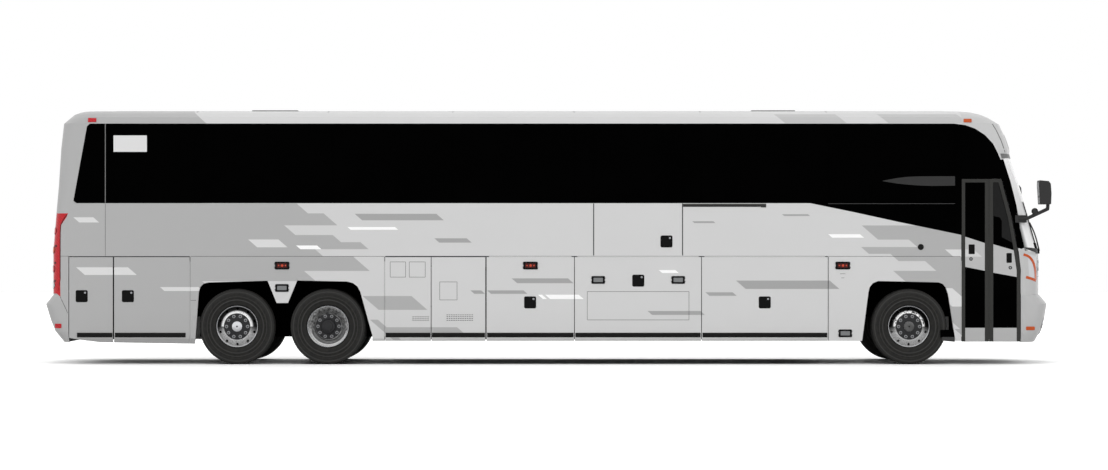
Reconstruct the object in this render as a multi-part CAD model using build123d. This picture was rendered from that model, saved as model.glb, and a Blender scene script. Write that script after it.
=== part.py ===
"""Three-axle commuter coach, 13.8 m long, as separate panels, doors, wheels and axles.

Millimetres. +X is the front of the bus, -Y its kerb side with the entrance door, +Z is up.
The origin is on the ground under the middle of the bounding box.
"""

import math
import os

from build123d import *

# ---- driving dimensions: the body shell ------------------------------------------------
BODY_HALF_WIDTH = 1295.0
WALL = 45.0  # side wall, roof and door thickness
GLASS = 12.0  # window glass thickness
GAP = 10.0  # open joint between a door and what stands next to it
SEAT_FIT = 0.3  # clearance between a glued pane and its rebate

SKIRT_Z = 319.0  # lower edge of the side doors
BELT_Z = 1473.0  # joint under the side wall, top of the side doors
SILL_Z = 2199.0  # lower edge of the window band
WINDOW_TOP_Z = 3286.0  # upper edge of the window band
BUMPER_TOP_Z = 945.0
NOSE_SEAM_Z = 1545.0  # windshield base, top of the nose panel
VISOR_Z = 2880.0  # windshield top
FLOOR_Z = 1330.0  # under side of the cabin floor
FLOOR = 40.0

# Plan sections of the shell up to the cove, joined by ruled surfaces:
# z, rear end x, front end x, rear corner radius, front corner radius
SHELL_COLUMNS = ("z", "rear", "front", "rear_corner", "front_corner")
SHELL_ROWS = (
    (265, -6816, 6795, 200, 250),
    (1545, -6818, 6800, 200, 250),
    (2010, -6780, 6672, 200, 250),
    (2440, -6742, 6537, 210, 245),
    (2868, -6716, 6396, 220, 250),
    (2936, -6712, 6403, 220, 260),
    (3097, -6696, 6350, 240, 290),
    (3290, -6678, 6260, 270, 330),
)
# Sections of the roof cove: turn of the cove in degrees, rear end x, front end x
COVE_COLUMNS = ("turn", "rear", "front")
COVE_ROWS = (
    (20, -6603, 6124),
    (38, -6555, 6004),
    (54, -6490, 5880),
    (68, -6440, 5740),
    (80, -6350, 5560),
    (90, -6200, 5380),
)
COVE_Z = 3290.0
ROOF_Z = 3488.0
CROWN_HALF_WIDTH = 300.0
COVE_FULLNESS = 0.8  # 1 is an ellipse, less is boxier
COVE_CORNER = 0.3  # corner radius of a cove section, as a share of its half width
REAR_BOW_RADIUS = 60000.0
FRONT_BOW_RADIUS = 4600.0

# ---- stations along the bus (x) --------------------------------------------------------
REAR_SEAM = -6575.0  # rear corner panel to first side door
SERVICE_SPLIT = -5964.0
SERVICE_END = -4916.0
REAR_ARCH = (-4851.0, -2426.0)
ARCH_PANEL_END = -2257.0
CLIMATE_SPLIT = -1624.0
BAY_1 = -873.0
BAY_2 = 332.0
BAY_3 = 2067.0
BAY_END = 3795.0
FRONT_ARCH = (4250.0, 5526.0)
ENTRANCE_REAR = 5612.0
CAP_SEAM = 5526.0

# ---- running gear ----------------------------------------------------------------------
FRONT_AXLE_X = 4904.0
DRIVE_AXLE_X = -3036.0
TAG_AXLE_X = -4277.0
TYRE_RADIUS = 515.0
TYRE_WIDTH = 312.0
RIM_RADIUS = 284.0
AXLE_Z = TYRE_RADIUS
TYRE_OUT_Y = 1272.0  # outer face of every outer tyre
DUAL_PITCH = 345.0
KINGPIN_INSET = 130.0


# ---- small helpers ---------------------------------------------------------------------
def block(x, y, z):
    """A box from three (low, high) pairs."""
    size = Box(x[1] - x[0], y[1] - y[0], z[1] - z[0])
    return Pos((x[0] + x[1]) / 2, (y[0] + y[1]) / 2, (z[0] + z[1]) / 2) * size


def side_prism(points, y):
    """A polygon in x and z, drawn through y = (low, high)."""
    outline = Polyline(*[(px, y[0], pz) for px, pz in points], close=True)
    return extrude(make_face(outline), amount=y[1] - y[0], dir=(0, 1, 0))


def mirrored(shape):
    """The same piece on the other side of the bus."""
    return mirror(shape, Plane.XZ)


def one_sided(side, shape):
    """A kerb-side piece as it is, or mirrored to the street side."""
    return shape if side == "kerb" else mirrored(shape)


def export(name, *pieces):
    """Writes one node."""
    solids = []
    for piece in pieces:
        solids.extend(piece.solids())
    export_step(Compound(children=solids), f"parts/{name}.step")
    print(name, len(solids))


# ---- the shell -------------------------------------------------------------------------
def corner(end, bow, radius, half, sign):
    """Corner centre and the point where it meets the bowed end, both on the +y side."""
    reach = math.sqrt((bow - radius) ** 2 - (half - radius) ** 2)
    bow_x = end - sign * bow
    centre = (bow_x + sign * reach, half - radius)
    scale = bow / (bow - radius)
    meet = (bow_x + sign * reach * scale, (half - radius) * scale)
    return centre, meet


def cove_row(row):
    """A cove section in the same terms as a shell section."""
    turn, rear, front = row
    angle = math.radians(turn)
    rise = math.sin(angle) ** COVE_FULLNESS
    spread = max(math.cos(angle), 0.0) ** COVE_FULLNESS
    half = CROWN_HALF_WIDTH + (BODY_HALF_WIDTH - CROWN_HALF_WIDTH) * spread
    corner = COVE_CORNER * half
    return (COVE_Z + (ROOF_Z - COVE_Z) * rise, rear, front, corner, corner, half)


def plan_section(row, inset, z):
    """Closed plan outline of the shell at one level, inset all round."""
    r = dict(zip(SECTION_COLUMNS, row))
    half = r["half"] - inset
    edges = []
    ends = (("front", 1, FRONT_BOW_RADIUS), ("rear", -1, REAR_BOW_RADIUS))
    side_x = {}
    for name, sign, bow in ends:
        end = r[name] - sign * inset
        radius = r[name + "_corner"] - inset
        (cx, cy), (mx, my) = corner(end, bow - inset, radius, half, sign)
        middle = math.radians(45)
        via = (cx + sign * radius * math.cos(middle), cy + radius * math.sin(middle))
        for flip in (1, -1):
            edges.append(
                ThreePointArc((cx, flip * half, z), (via[0], flip * via[1], z), (mx, flip * my, z))
            )
        edges.append(ThreePointArc((mx, my, z), (end, 0, z), (mx, -my, z)))
        side_x[name] = cx
    for flip in (1, -1):
        edges.append(Line((side_x["rear"], flip * half, z), (side_x["front"], flip * half, z)))
    return make_face(Wire(edges))


SECTION_COLUMNS = SHELL_COLUMNS + ("half",)
SECTIONS = [row + (BODY_HALF_WIDTH,) for row in SHELL_ROWS] + [cove_row(row) for row in COVE_ROWS]


def shell_solid(inset):
    """The whole body as one solid, inset all round but for its open under side."""
    bottom = SECTIONS[0][0]
    sections = []
    for row in SECTIONS:
        z = row[0] - inset * (row[0] - bottom) / (ROOF_Z - bottom)
        sections.append(plan_section(row, inset, z))
    return loft(sections, ruled=True)


OUTER = shell_solid(0.0)
REBATE = shell_solid(GLASS + SEAT_FIT)
PANE_BACK = shell_solid(GLASS)
INNER = shell_solid(WALL)
SKIN = OUTER - INNER
PANE_SKIN = OUTER - PANE_BACK
PANE_SLOT = OUTER - REBATE

FAR = 9000.0
SIDES = ("kerb", "street")
KERB_Y = (-1500.0, 0.0)
OUT = BODY_HALF_WIDTH
IN = BODY_HALF_WIDTH - WALL


def half_of(shape, side):
    """The half of a piece on one side of the bus."""
    y = (-1500, 0) if side == "kerb" else (0, 1500)
    return shape & block((-FAR, FAR), y, (0, 4000))


# ---- outlines seen from the side: (x, z) -----------------------------------------------
A_PILLAR_TOP = (6157.0, 2787.0)
A_PILLAR_FOOT = (6446.0, 1574.0)
WINDOW_REAR = ((-6514.0, SILL_Z), (-6323.0, 3246.0), (-6283.0, WINDOW_TOP_Z))
WINDOW_FRONT = (
    (5513.0, WINDOW_TOP_Z), (5663.0, 3266.0), (5799.0, 3219.0), (5936.0, 3130.0),
    (6045.0, 3014.0), (6106.0, 2898.0), A_PILLAR_TOP, A_PILLAR_FOOT,
)
WINDOW_DROP = ((5592.0, 1770.0), (4733.0, 1948.0), (4150.0, 2076.0), (3548.0, SILL_Z))
WINDOW_BAND = WINDOW_REAR + WINDOW_FRONT + WINDOW_DROP

ENTRANCE_TOP_Z = 2540.0
ENTRANCE_SPLIT = 5990.0
LEAF_GAP = 14.0
ENTRANCE_FOOT_Z = 310.0
NOSE_EDGE_X = 6426.0
ENTRANCE_FRONT = ((6168.0, ENTRANCE_TOP_Z), (6305.0, 2020.0), (6388.0, 1567.0),
                  (NOSE_EDGE_X, 1290.0), (NOSE_EDGE_X, ENTRANCE_FOOT_Z))
ENTRANCE = ((ENTRANCE_REAR, ENTRANCE_FOOT_Z), (ENTRANCE_REAR, ENTRANCE_TOP_Z)) + ENTRANCE_FRONT

FRONT_ARCH_OUTLINE = (
    (FRONT_ARCH[0], 250.0), (4345.0, 985.0), (4362.0, 1055.0), (4405.0, 1108.0), (4479.0, 1137.0),
    (5300.0, 1119.0), (5360.0, 1098.0), (5400.0, 1050.0), (5432.0, 962.0),
    (FRONT_ARCH[1], 360.0), (FRONT_ARCH[1], 250.0),
)
REAR_ARCH_OUTLINE = (
    (REAR_ARCH[0], 250.0), (-4797.0, 985.0), (-4778.0, 1052.0), (-4735.0, 1098.0),
    (-4670.0, 1117.0), (-3857.0, 1141.0), (-3734.0, 837.0), (-3580.0, 837.0),
    (-3453.0, 1144.0), (-2770.0, 1130.0), (-2690.0, 1108.0), (-2628.0, 1060.0),
    (-2590.0, 985.0), (REAR_ARCH[1], 390.0), (REAR_ARCH[1], 250.0),
)
# Lower edge of the rear side doors, which rises towards the bumper
REAR_SKIRT = (
    (REAR_SEAM - 50, 374.0), (REAR_SEAM, 363.0), (-6458.0, 340.0), (-6140.0, 302.0),
    (-5459.0, 290.0), (REAR_ARCH[0] + 20, 281.0),
)
REAR_SKIRT_LOW = 270.0
LIFT_DOOR = (594.0, 1807.0)
PANE_JOINTS = (-6072.0, -4853.0, -4602.0, -2970.0, -1337.0, 330.0, 594.0, 1807.0, 2063.0,
               3798.0, CAP_SEAM)
REAR_PILLAR_X = -6072.0
PANE_JOINT = 6.0
PILLAR = 55.0  # how far a window aperture stays inside its pane

ROD = 5.0  # hinge rod radius
ROD_FIT = 0.3
EDGE = ROD + ROD_FIT  # from a hinge line to the hinged edge of its door


# ---- windows ---------------------------------------------------------------------------
def flat(points):
    """A polygon in the side plane."""
    return make_face(Polyline(*[(x, 0, z) for x, z in points], close=True))


def strip(x0, x1, z0=0.0, z1=4000.0):
    """A rectangle in the side plane."""
    return flat(((x0, z0), (x1, z0), (x1, z1), (x0, z1)))


def drawn(face, y):
    """A side-plane face drawn through y = (low, high)."""
    return extrude(Pos(0, y[0], 0) * face, amount=y[1] - y[0], dir=(0, 1, 0))


BAND = flat(WINDOW_BAND)
ENTRANCE_HOLE = flat(ENTRANCE)
joints = (-7000.0,) + PANE_JOINTS + (7000.0,)
pane_faces = {"kerb": [], "street": []}
for x0, x1 in zip(joints, joints[1:]):
    pane = BAND & strip(x0 + PANE_JOINT / 2, x1 - PANE_JOINT / 2)
    pane_faces["street"].append(pane)
    pane_faces["kerb"].append(pane - ENTRANCE_HOLE)

apertures = {side: [] for side in SIDES}
for side in SIDES:
    for face in pane_faces[side]:
        for piece in face.faces():
            box = piece.bounding_box()
            if box.size.X > 3 * PILLAR and box.size.Z > 3 * PILLAR:
                shrunk = offset(piece, amount=-PILLAR, kind=Kind.INTERSECTION)
                apertures[side].append(shrunk)

band_y = {"kerb": (-1500.0, 0.0), "street": (0.0, 1500.0)}
glass = {}
slots = {}
for side in SIDES:
    skin = half_of(PANE_SKIN, side)
    glass[side] = [skin & drawn(face, band_y[side]) for face in pane_faces[side]]
    band = BAND - ENTRANCE_HOLE if side == "kerb" else BAND
    slots[side] = half_of(PANE_SLOT, side) & drawn(band, band_y[side])
export("side_glass", *glass["kerb"], *glass["street"])


def glazed(shape, side):
    """A piece of the shell with the panes' rebate and the window apertures cut."""
    shape = shape - slots[side]
    for face in apertures[side]:
        shape = shape - drawn(face, band_y[side])
    return shape


# ---- hinges ----------------------------------------------------------------------------
def rod_x(x0, x1, y, z):
    """A hinge rod along the bus."""
    return Pos((x0 + x1) / 2, y, z) * Rot(0, 90, 0) * Cylinder(ROD, x1 - x0)


def rod_y(y0, y1, x, z):
    """A hinge rod across the bus."""
    return Pos(x, (y0 + y1) / 2, z) * Rot(90, 0, 0) * Cylinder(ROD, y1 - y0)


def rod_z(z0, z1, x, y):
    """An upright hinge rod."""
    return Pos(x, y, (z0 + z1) / 2) * Cylinder(ROD, z1 - z0)


BAY_HINGE_Z = BELT_Z - 3.0
DOOR_TOP_Z = BAY_HINGE_Z - EDGE
KERB_BAYS = (("bay_rear", BAY_1, BAY_2), ("bay_middle", BAY_2, BAY_3), ("bay_front", BAY_3, BAY_END))

# ---- side walls ------------------------------------------------------------------------
for side in SIDES:
    skin = half_of(SKIN, side)
    wall = skin & block((REAR_PILLAR_X, CAP_SEAM), (-1500, 1500), (BELT_Z, WINDOW_TOP_Z + 20))
    if side == "kerb":
        lift_zone = block(LIFT_DOOR, KERB_Y, (BELT_Z + 2 * ROD, WINDOW_TOP_Z))
        lift = wall & lift_zone
        wall = wall - lift_zone
        export("lift_door", glazed(lift, side))
    wall = glazed(wall, side)
    sign = -1 if side == "kerb" else 1
    for name, x0, x1 in KERB_BAYS:
        wall = wall + rod_x(x0 + 40, x1 - 40, sign * OUT, BAY_HINGE_Z)
    export("wall_" + side, wall)

# ---- side doors ------------------------------------------------------------------------
def door(side, x0, x1, z0, z1):
    """One flat door cut from the shell."""
    return half_of(SKIN, side) & block((x0, x1), (-1500, 1500), (z0, z1))


rear_under = side_prism(REAR_SKIRT + ((REAR_ARCH[0] + 20, 200.0), (REAR_SEAM - 50, 200.0)), (-1500, 1500))


def rear_door(side, x0, x1, z1):
    """A door or panel ahead of the rear bumper, cut along the rising skirt line."""
    return door(side, x0, x1, REAR_SKIRT_LOW, z1) - rear_under


for side in SIDES:
    for name, x0, x1 in KERB_BAYS:
        export(f"{name}_{side}", door(side, x0 + GAP / 2, x1 - GAP / 2, SKIRT_Z, DOOR_TOP_Z))

UPRIGHT_TOP = BELT_Z - GAP
climate_hinge_x = BAY_1 - 6
export("service_rear_kerb", rear_door("kerb", REAR_SEAM + GAP, SERVICE_SPLIT - EDGE, UPRIGHT_TOP))
export("service_front_kerb",
       rear_door("kerb", SERVICE_SPLIT + EDGE + 7, SERVICE_END - EDGE, UPRIGHT_TOP))
export("climate_rear_kerb",
       door("kerb", ARCH_PANEL_END + EDGE, CLIMATE_SPLIT - GAP / 2, SKIRT_Z, UPRIGHT_TOP))
export("climate_front_kerb",
       door("kerb", CLIMATE_SPLIT + GAP / 2, climate_hinge_x - EDGE, SKIRT_Z, UPRIGHT_TOP))
export("radiator_door_street", rear_door("street", REAR_SEAM + GAP, SERVICE_END - EDGE, UPRIGHT_TOP))
export("condenser_door_street",
       door("street", ARCH_PANEL_END + GAP, climate_hinge_x - EDGE, SKIRT_Z, UPRIGHT_TOP))

# ---- arch panels -----------------------------------------------------------------------
arch_pieces = []
for side in SIDES:
    y = OUT if side == "street" else -OUT
    rear = rear_door(side, SERVICE_END, REAR_ARCH[0], BELT_Z)
    rear = rear + door(side, REAR_ARCH[0], ARCH_PANEL_END, SKIRT_Z, BELT_Z)
    rear = rear - side_prism(REAR_ARCH_OUTLINE, (-1500, 1500))
    rear = rear + rod_z(SKIRT_Z + 60, UPRIGHT_TOP - 60, SERVICE_END, y)
    if side == "kerb":
        rear = rear + rod_z(SKIRT_Z + 60, UPRIGHT_TOP - 60, ARCH_PANEL_END, y)
    end = ENTRANCE_REAR if side == "kerb" else NOSE_EDGE_X
    front = door(side, BAY_END, end, SKIRT_Z, BELT_Z)
    front = front - side_prism(FRONT_ARCH_OUTLINE, (-1500, 1500))
    if side == "kerb":
        front = front + rod_z(SKIRT_Z + 60, BELT_Z - 60, ENTRANCE_REAR, y)
    arch_pieces += [rear, front]
export("arch_panels", *arch_pieces)

# ---- entrance leaves -------------------------------------------------------------------
leaf_skin = half_of(SKIN, "kerb")
leaf_low = ENTRANCE_FOOT_Z
leaf_top = ENTRANCE_TOP_Z - GAP
leaf_front = [(x - GAP, z) for x, z in ENTRANCE_FRONT[1:3]]
leaf_area = flat(((ENTRANCE_REAR + EDGE, leaf_low), (ENTRANCE_REAR + EDGE, leaf_top),
                  (ENTRANCE_FRONT[0][0] - GAP, leaf_top), *leaf_front,
                  (NOSE_EDGE_X - EDGE, ENTRANCE_FRONT[3][1]), (NOSE_EDGE_X - EDGE, leaf_low)))
rear_leaf = leaf_skin & drawn(leaf_area & strip(5000, ENTRANCE_SPLIT - LEAF_GAP / 2), KERB_Y)
front_leaf = leaf_skin & drawn(leaf_area & strip(ENTRANCE_SPLIT + LEAF_GAP / 2, 7000), KERB_Y)
export("entrance_leaf_rear", rear_leaf)
export("entrance_leaf_front", front_leaf)

# ---- front cap, windshield, nose -------------------------------------------------------
A_PILLAR = 28.0  # width of the strip between the side glass and the windshield
WINDSHIELD = (
    (A_PILLAR_TOP[0] + A_PILLAR, A_PILLAR_TOP[1]), (6250.0, VISOR_Z - 30), (7200.0, VISOR_Z - 30),
    (7200.0, NOSE_SEAM_Z), (A_PILLAR_FOOT[0] + A_PILLAR + 7, NOSE_SEAM_Z),
)
both_y = (-1500.0, 1500.0)
pane_zone = side_prism(WINDSHIELD, both_y)
cap = SKIN & block((CAP_SEAM, FAR), both_y, (BELT_Z, 4000))
street_low = block((NOSE_EDGE_X, FAR), both_y, (0, NOSE_SEAM_Z))
cap = cap - street_low - block((CAP_SEAM, FAR), (-1500, 0), (0, NOSE_SEAM_Z)) - drawn(ENTRANCE_HOLE, KERB_Y)
cap = cap + (half_of(SKIN, "kerb") & block((CAP_SEAM, ENTRANCE_REAR), KERB_Y, (BELT_Z, NOSE_SEAM_Z)))
cap = glazed(glazed(cap, "kerb"), "street")
cap = cap - (PANE_SLOT & pane_zone)
window_frame = ((6290.0, VISOR_Z - 90), (7200.0, VISOR_Z - 90), (7200.0, NOSE_SEAM_Z + 60),
                (6520.0, NOSE_SEAM_Z + 60))
cap = cap - side_prism(window_frame, both_y)
export("front_cap", cap)
panes = PANE_SKIN & pane_zone
centre_bar = 5.0
export("windshield", panes & block((0, FAR), (-1500, -centre_bar), (0, 4000)),
       panes & block((0, FAR), (centre_bar, 1500), (0, 4000)))

nose = SKIN & block((NOSE_EDGE_X, FAR), both_y, (BUMPER_TOP_Z, NOSE_SEAM_Z))
HEADLAMP = ((6520.0, 1500.0), (6590.0, 1495.0), (6950.0, 1400.0), (6950.0, 1150.0), (6545.0, 1190.0))
HEADLAMP_IN = 640.0
lamps = []
for side in SIDES:
    y = (-1500.0, -HEADLAMP_IN) if side == "kerb" else (HEADLAMP_IN, 1500.0)
    zone = side_prism(HEADLAMP, y)
    lamps.append(nose & zone)
    nose = nose - zone
nose = nose + rod_z(BUMPER_TOP_Z + 20, 1240, NOSE_EDGE_X, -OUT)
export("headlamps", *lamps)
export("nose_panel", nose)

# ---- bumpers ---------------------------------------------------------------------------
BUMPER = 60.0
BUMPER_ROWS = (
    (302, -6668, 6745, 200, 250, BODY_HALF_WIDTH - 20),
    (452, -6788, 6832, 200, 250, BODY_HALF_WIDTH),
    (601, -6848, 6880, 200, 250, BODY_HALF_WIDTH),
    (822, -6917, 6917, 200, 250, BODY_HALF_WIDTH),
    (BUMPER_TOP_Z, -6818, 6812, 200, 250, BODY_HALF_WIDTH),
)


def bumper_solid(inset):
    """Both bumpers and what lies between them, as one solid."""
    return loft([plan_section(row, inset, row[0]) for row in BUMPER_ROWS], ruled=True)


bumpers = bumper_solid(0.0) - bumper_solid(BUMPER)
export("front_bumper", bumpers & block((NOSE_EDGE_X, FAR), both_y, (0, 4000)))
export("rear_bumper", bumpers & block((-FAR, REAR_SEAM), both_y, (0, 4000)))

# ---- rear cap, tail lamps, engine door -------------------------------------------------
TAIL_LAMP = ((-7000.0, 2061.0), (-6580.0, 2061.0), (-6600.0, 2010.0), (-6689.0, 1885.0),
             (-6689.0, 1150.0), (-6740.0, BUMPER_TOP_Z + 20), (-7000.0, BUMPER_TOP_Z + 20))
TAIL_LAMP_IN = 1110.0
ENGINE_DOOR = (880.0, 985.0, 2020.0)  # half width, lower edge, hinge line
rear_cap = SKIN & block((-FAR, REAR_PILLAR_X), both_y, (BELT_Z, 4000))
rear_cap = rear_cap + (SKIN & block((-FAR, REAR_SEAM), both_y, (BUMPER_TOP_Z, BELT_Z)))
rear_cap = glazed(glazed(rear_cap, "kerb"), "street")
lamps = []
for side in SIDES:
    y = (-1500.0, -TAIL_LAMP_IN) if side == "kerb" else (TAIL_LAMP_IN, 1500.0)
    zone = side_prism(TAIL_LAMP, y)
    lamps.append(rear_cap & zone)
    rear_cap = rear_cap - zone
half, low, hinge_z = ENGINE_DOOR
door_zone = block((-FAR, -6000), (-half, half), (low, hinge_z - EDGE))
engine_door = SKIN & door_zone
rear_cap = rear_cap - block((-FAR, -6000), (-half - GAP, half + GAP), (low - GAP, hinge_z + 3))
engine_hinge_x = -6776.0
rear_cap = rear_cap + rod_y(-half + 60, half - 60, engine_hinge_x, hinge_z)
export("tail_lamps", *lamps)
export("rear_cap", rear_cap)
export("engine_door", engine_door)

# ---- roof and hatches ------------------------------------------------------------------
HATCHES = (("rear", -4150.0, -3515.0), ("front", 2810.0, 3415.0))
HATCH_HALF = 290.0
HATCH_TOP_Z = 3508.0
HATCH_LIP = 40.0
roof = SKIN & block((REAR_PILLAR_X, CAP_SEAM), both_y, (WINDOW_TOP_Z + 20, 4000))
for name, x0, x1 in HATCHES:
    hole = block((x0 + HATCH_LIP, x1 - HATCH_LIP), (-HATCH_HALF + HATCH_LIP, HATCH_HALF - HATCH_LIP),
                 (3300, 3600))
    roof = roof - hole
    lid = block((x0, x1), (-HATCH_HALF, HATCH_HALF), (ROOF_Z + ROD_FIT, HATCH_TOP_Z))
    export("roof_hatch_" + name, lid)
export("roof", roof)

# ---- wheels ----------------------------------------------------------------------------
TYRE_MID_Y = TYRE_OUT_Y - TYRE_WIDTH / 2
HALF_TYRE = TYRE_WIDTH / 2
RIM_FIT = 0.3
BORE_FIT = 0.3
SPINDLE = 35.0
DRIVE_SPINDLE = 45.0
DISC = 14.0  # thickness of a wheel disc
SINGLE_DISH = 131.0  # outer face of a single wheel's disc, from the tyre's middle
HAND_HOLES = 10
HAND_HOLE_CIRCLE = 242.0
HAND_HOLE = 18.0
HUB = 118.0
HUB_CAP = 67.0


def revolved(profile):
    """A solid of revolution about the y axis; profile is (radius, outward)."""
    face = make_face(Polyline(*[(0, v, r) for r, v in profile], close=True))
    return revolve(face, axis=Axis.Y, revolution_arc=360)


TYRE_PROFILE = (
    (RIM_RADIUS + RIM_FIT, -108), (RIM_RADIUS + RIM_FIT, 108), (RIM_RADIUS + 36, HALF_TYRE - 22),
    (TYRE_RADIUS - 95, HALF_TYRE), (TYRE_RADIUS - 36, HALF_TYRE - 6),
    (TYRE_RADIUS - 6, HALF_TYRE - 28), (TYRE_RADIUS, HALF_TYRE - 48),
    (TYRE_RADIUS, -HALF_TYRE + 48), (TYRE_RADIUS - 6, -HALF_TYRE + 28),
    (TYRE_RADIUS - 36, -HALF_TYRE + 6), (TYRE_RADIUS - 95, -HALF_TYRE),
    (RIM_RADIUS + 36, -HALF_TYRE + 22),
)


def rim(dish):
    """A rim with hand holes in its disc, whose outer face stands dish outside the middle."""
    solid = revolved((
        (RIM_RADIUS, -106), (RIM_RADIUS, 106), (RIM_RADIUS - 14, 106), (RIM_RADIUS - 20, 62),
        (205, dish - 12), (185, dish), (90, dish), (90, dish - DISC), (178, dish - DISC - 2),
        (RIM_RADIUS - 46, 44), (RIM_RADIUS - 22, 20), (RIM_RADIUS - 14, -106),
    ))
    for i in range(HAND_HOLES):
        turn = Rot(0, 360 / HAND_HOLES * (i + 0.5), 0)
        hole = Pos(HAND_HOLE_CIRCLE, dish - 50, 0) * Rot(90, 0, 0) * Cylinder(HAND_HOLE, 150)
        solid = solid - turn * hole
    return solid


tyre = revolved(TYRE_PROFILE)
bore = SPINDLE + BORE_FIT
single_hub = revolved((
    (bore, -40), (HUB, -40), (HUB, SINGLE_DISH - 8), (HUB_CAP + 4, SINGLE_DISH - 8), (HUB_CAP, 150),
    (0, 150), (0, 112), (bore, 112),
))
single_rim = rim(SINGLE_DISH) + single_hub
half_pitch = DUAL_PITCH / 2
drive_bore = DRIVE_SPINDLE + BORE_FIT
drive_hub = revolved((
    (drive_bore, -150), (HUB, -150), (HUB, 90), (105, 100), (95, 150), (0, 150), (0, 122), (drive_bore, 122),
))
outer_rim = Pos(0, half_pitch, 0) * mirror(rim(half_pitch), Plane.XZ)
dual_rim = outer_rim + Pos(0, -half_pitch, 0) * rim(half_pitch) + drive_hub
WHEELS = (
    ("front", FRONT_AXLE_X, TYRE_MID_Y, single_rim, (0.0,)),
    ("drive", DRIVE_AXLE_X, TYRE_MID_Y - half_pitch, dual_rim, (half_pitch, -half_pitch)),
    ("tag", TAG_AXLE_X, TYRE_MID_Y, single_rim, (0.0,)),
)
for name, x, y, rim_solid, tyre_places in WHEELS:
    for side in SIDES:
        place = Pos(x, y, AXLE_Z)
        tyres = [place * Pos(0, v, 0) * tyre for v in tyre_places]
        rim_here = place * rim_solid
        if side == "kerb":
            tyres = [mirrored(t) for t in tyres]
            rim_here = mirrored(rim_here)
        export(f"tyre_{name}_{side}", *tyres)
        export(f"rim_{name}_{side}", rim_here)

# ---- knuckles and axles ----------------------------------------------------------------
KINGPIN_Y = TYRE_MID_Y - KINGPIN_INSET
PIN = 22.0
EYE = 45.0
RAIL_Y = (395.0, 465.0)
RAIL_Z = (640.0, 760.0)
HUB_GAP = 16.0
JACK_PAD_DROP = 90.0  # flat pads under the drive axle
knuckle_back = TYRE_MID_Y - 40 - HUB_GAP
lug_x = (FRONT_AXLE_X - 45, FRONT_AXLE_X + 45)


def y_bar(radius, y0, y1, x, z=AXLE_Z):
    """A round bar across the bus."""
    return Pos(x, (y0 + y1) / 2, z) * Rot(90, 0, 0) * Cylinder(radius, y1 - y0)


knuckle = block(lug_x, (knuckle_back - 26, knuckle_back), (AXLE_Z - 98, AXLE_Z + 102))
for z0, z1 in ((AXLE_Z - 98, AXLE_Z - 62), (AXLE_Z + 66, AXLE_Z + 102)):
    knuckle = knuckle + block(lug_x, (KINGPIN_Y - EYE, knuckle_back), (z0, z1))
knuckle = knuckle + Pos(FRONT_AXLE_X, KINGPIN_Y, AXLE_Z + 2) * Cylinder(PIN, 180)
knuckle = knuckle + y_bar(SPINDLE, knuckle_back - 10, TYRE_MID_Y + 111, FRONT_AXLE_X)
knuckle = knuckle + y_bar(80, knuckle_back - 10, knuckle_back + 8, FRONT_AXLE_X)
for side in SIDES:
    export("knuckle_" + side, one_sided("kerb", knuckle) if side == "street" else mirrored(knuckle))

beam = block((FRONT_AXLE_X - 50, FRONT_AXLE_X + 50), (-KINGPIN_Y + 30, KINGPIN_Y - 30), (AXLE_Z - 48, AXLE_Z + 52))
for sign in (-1, 1):
    beam = beam + Pos(FRONT_AXLE_X, sign * KINGPIN_Y, AXLE_Z + 2) * Cylinder(EYE, 118)
    beam = beam - Pos(FRONT_AXLE_X, sign * KINGPIN_Y, AXLE_Z + 2) * Cylinder(PIN + BORE_FIT, 130)
for sign in (-1, 1):
    y = sorted((sign * RAIL_Y[0], sign * RAIL_Y[1]))
    beam = beam + block((FRONT_AXLE_X - 70, FRONT_AXLE_X + 70), y, (AXLE_Z, RAIL_Z[0]))
export("front_axle", beam)

drive = y_bar(75, -TYRE_MID_Y + 520, TYRE_MID_Y - 520, DRIVE_AXLE_X)
drive = drive + y_bar(DRIVE_SPINDLE, -TYRE_MID_Y + half_pitch - 121, TYRE_MID_Y - half_pitch + 121, DRIVE_AXLE_X)
drive = drive + y_bar(190, -150, 150, DRIVE_AXLE_X)
tag = y_bar(60, -knuckle_back, knuckle_back, TAG_AXLE_X)
tag = tag + y_bar(SPINDLE, -TYRE_MID_Y - 111, TYRE_MID_Y + 111, TAG_AXLE_X)
for sign in (-1, 1):
    y = sorted((sign * RAIL_Y[0], sign * RAIL_Y[1]))
    drive = drive + block((DRIVE_AXLE_X - 80, DRIVE_AXLE_X + 80), y, (AXLE_Z - JACK_PAD_DROP, RAIL_Z[0]))
    tag = tag + block((TAG_AXLE_X - 80, TAG_AXLE_X + 80), y, (AXLE_Z, RAIL_Z[0]))
export("rear_axles", drive, tag)

# ---- frame rails, bulkheads, bay floor, wheel housings ---------------------------------
PLATE = 24.0
DOOR_CLEAR = 7.0
FRAME_Y = IN - DOOR_CLEAR
BAY_FLOOR_Z = (340.0, 360.0)
HINGE_PLATE = 6.0
HINGE_SPAN = (SKIRT_Z + 60, FLOOR_Z)
TOW_EYE = 19.0
TOW_EYE_X = 6600.0
TOW_PLATE_Z = (310.0, 335.0)


def span(sign, near, far):
    """(low, high) in y on the side given by sign."""
    return tuple(sorted((sign * near, sign * far)))


def hinge_plate(sign, x):
    """A thin plate that carries a hinge rod in the gap between two doors."""
    plate = block((x - HINGE_PLATE / 2, x + HINGE_PLATE / 2), span(sign, FRAME_Y - 5, OUT), HINGE_SPAN)
    return plate + rod_z(HINGE_SPAN[0], HINGE_SPAN[1], x, sign * OUT)


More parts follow.
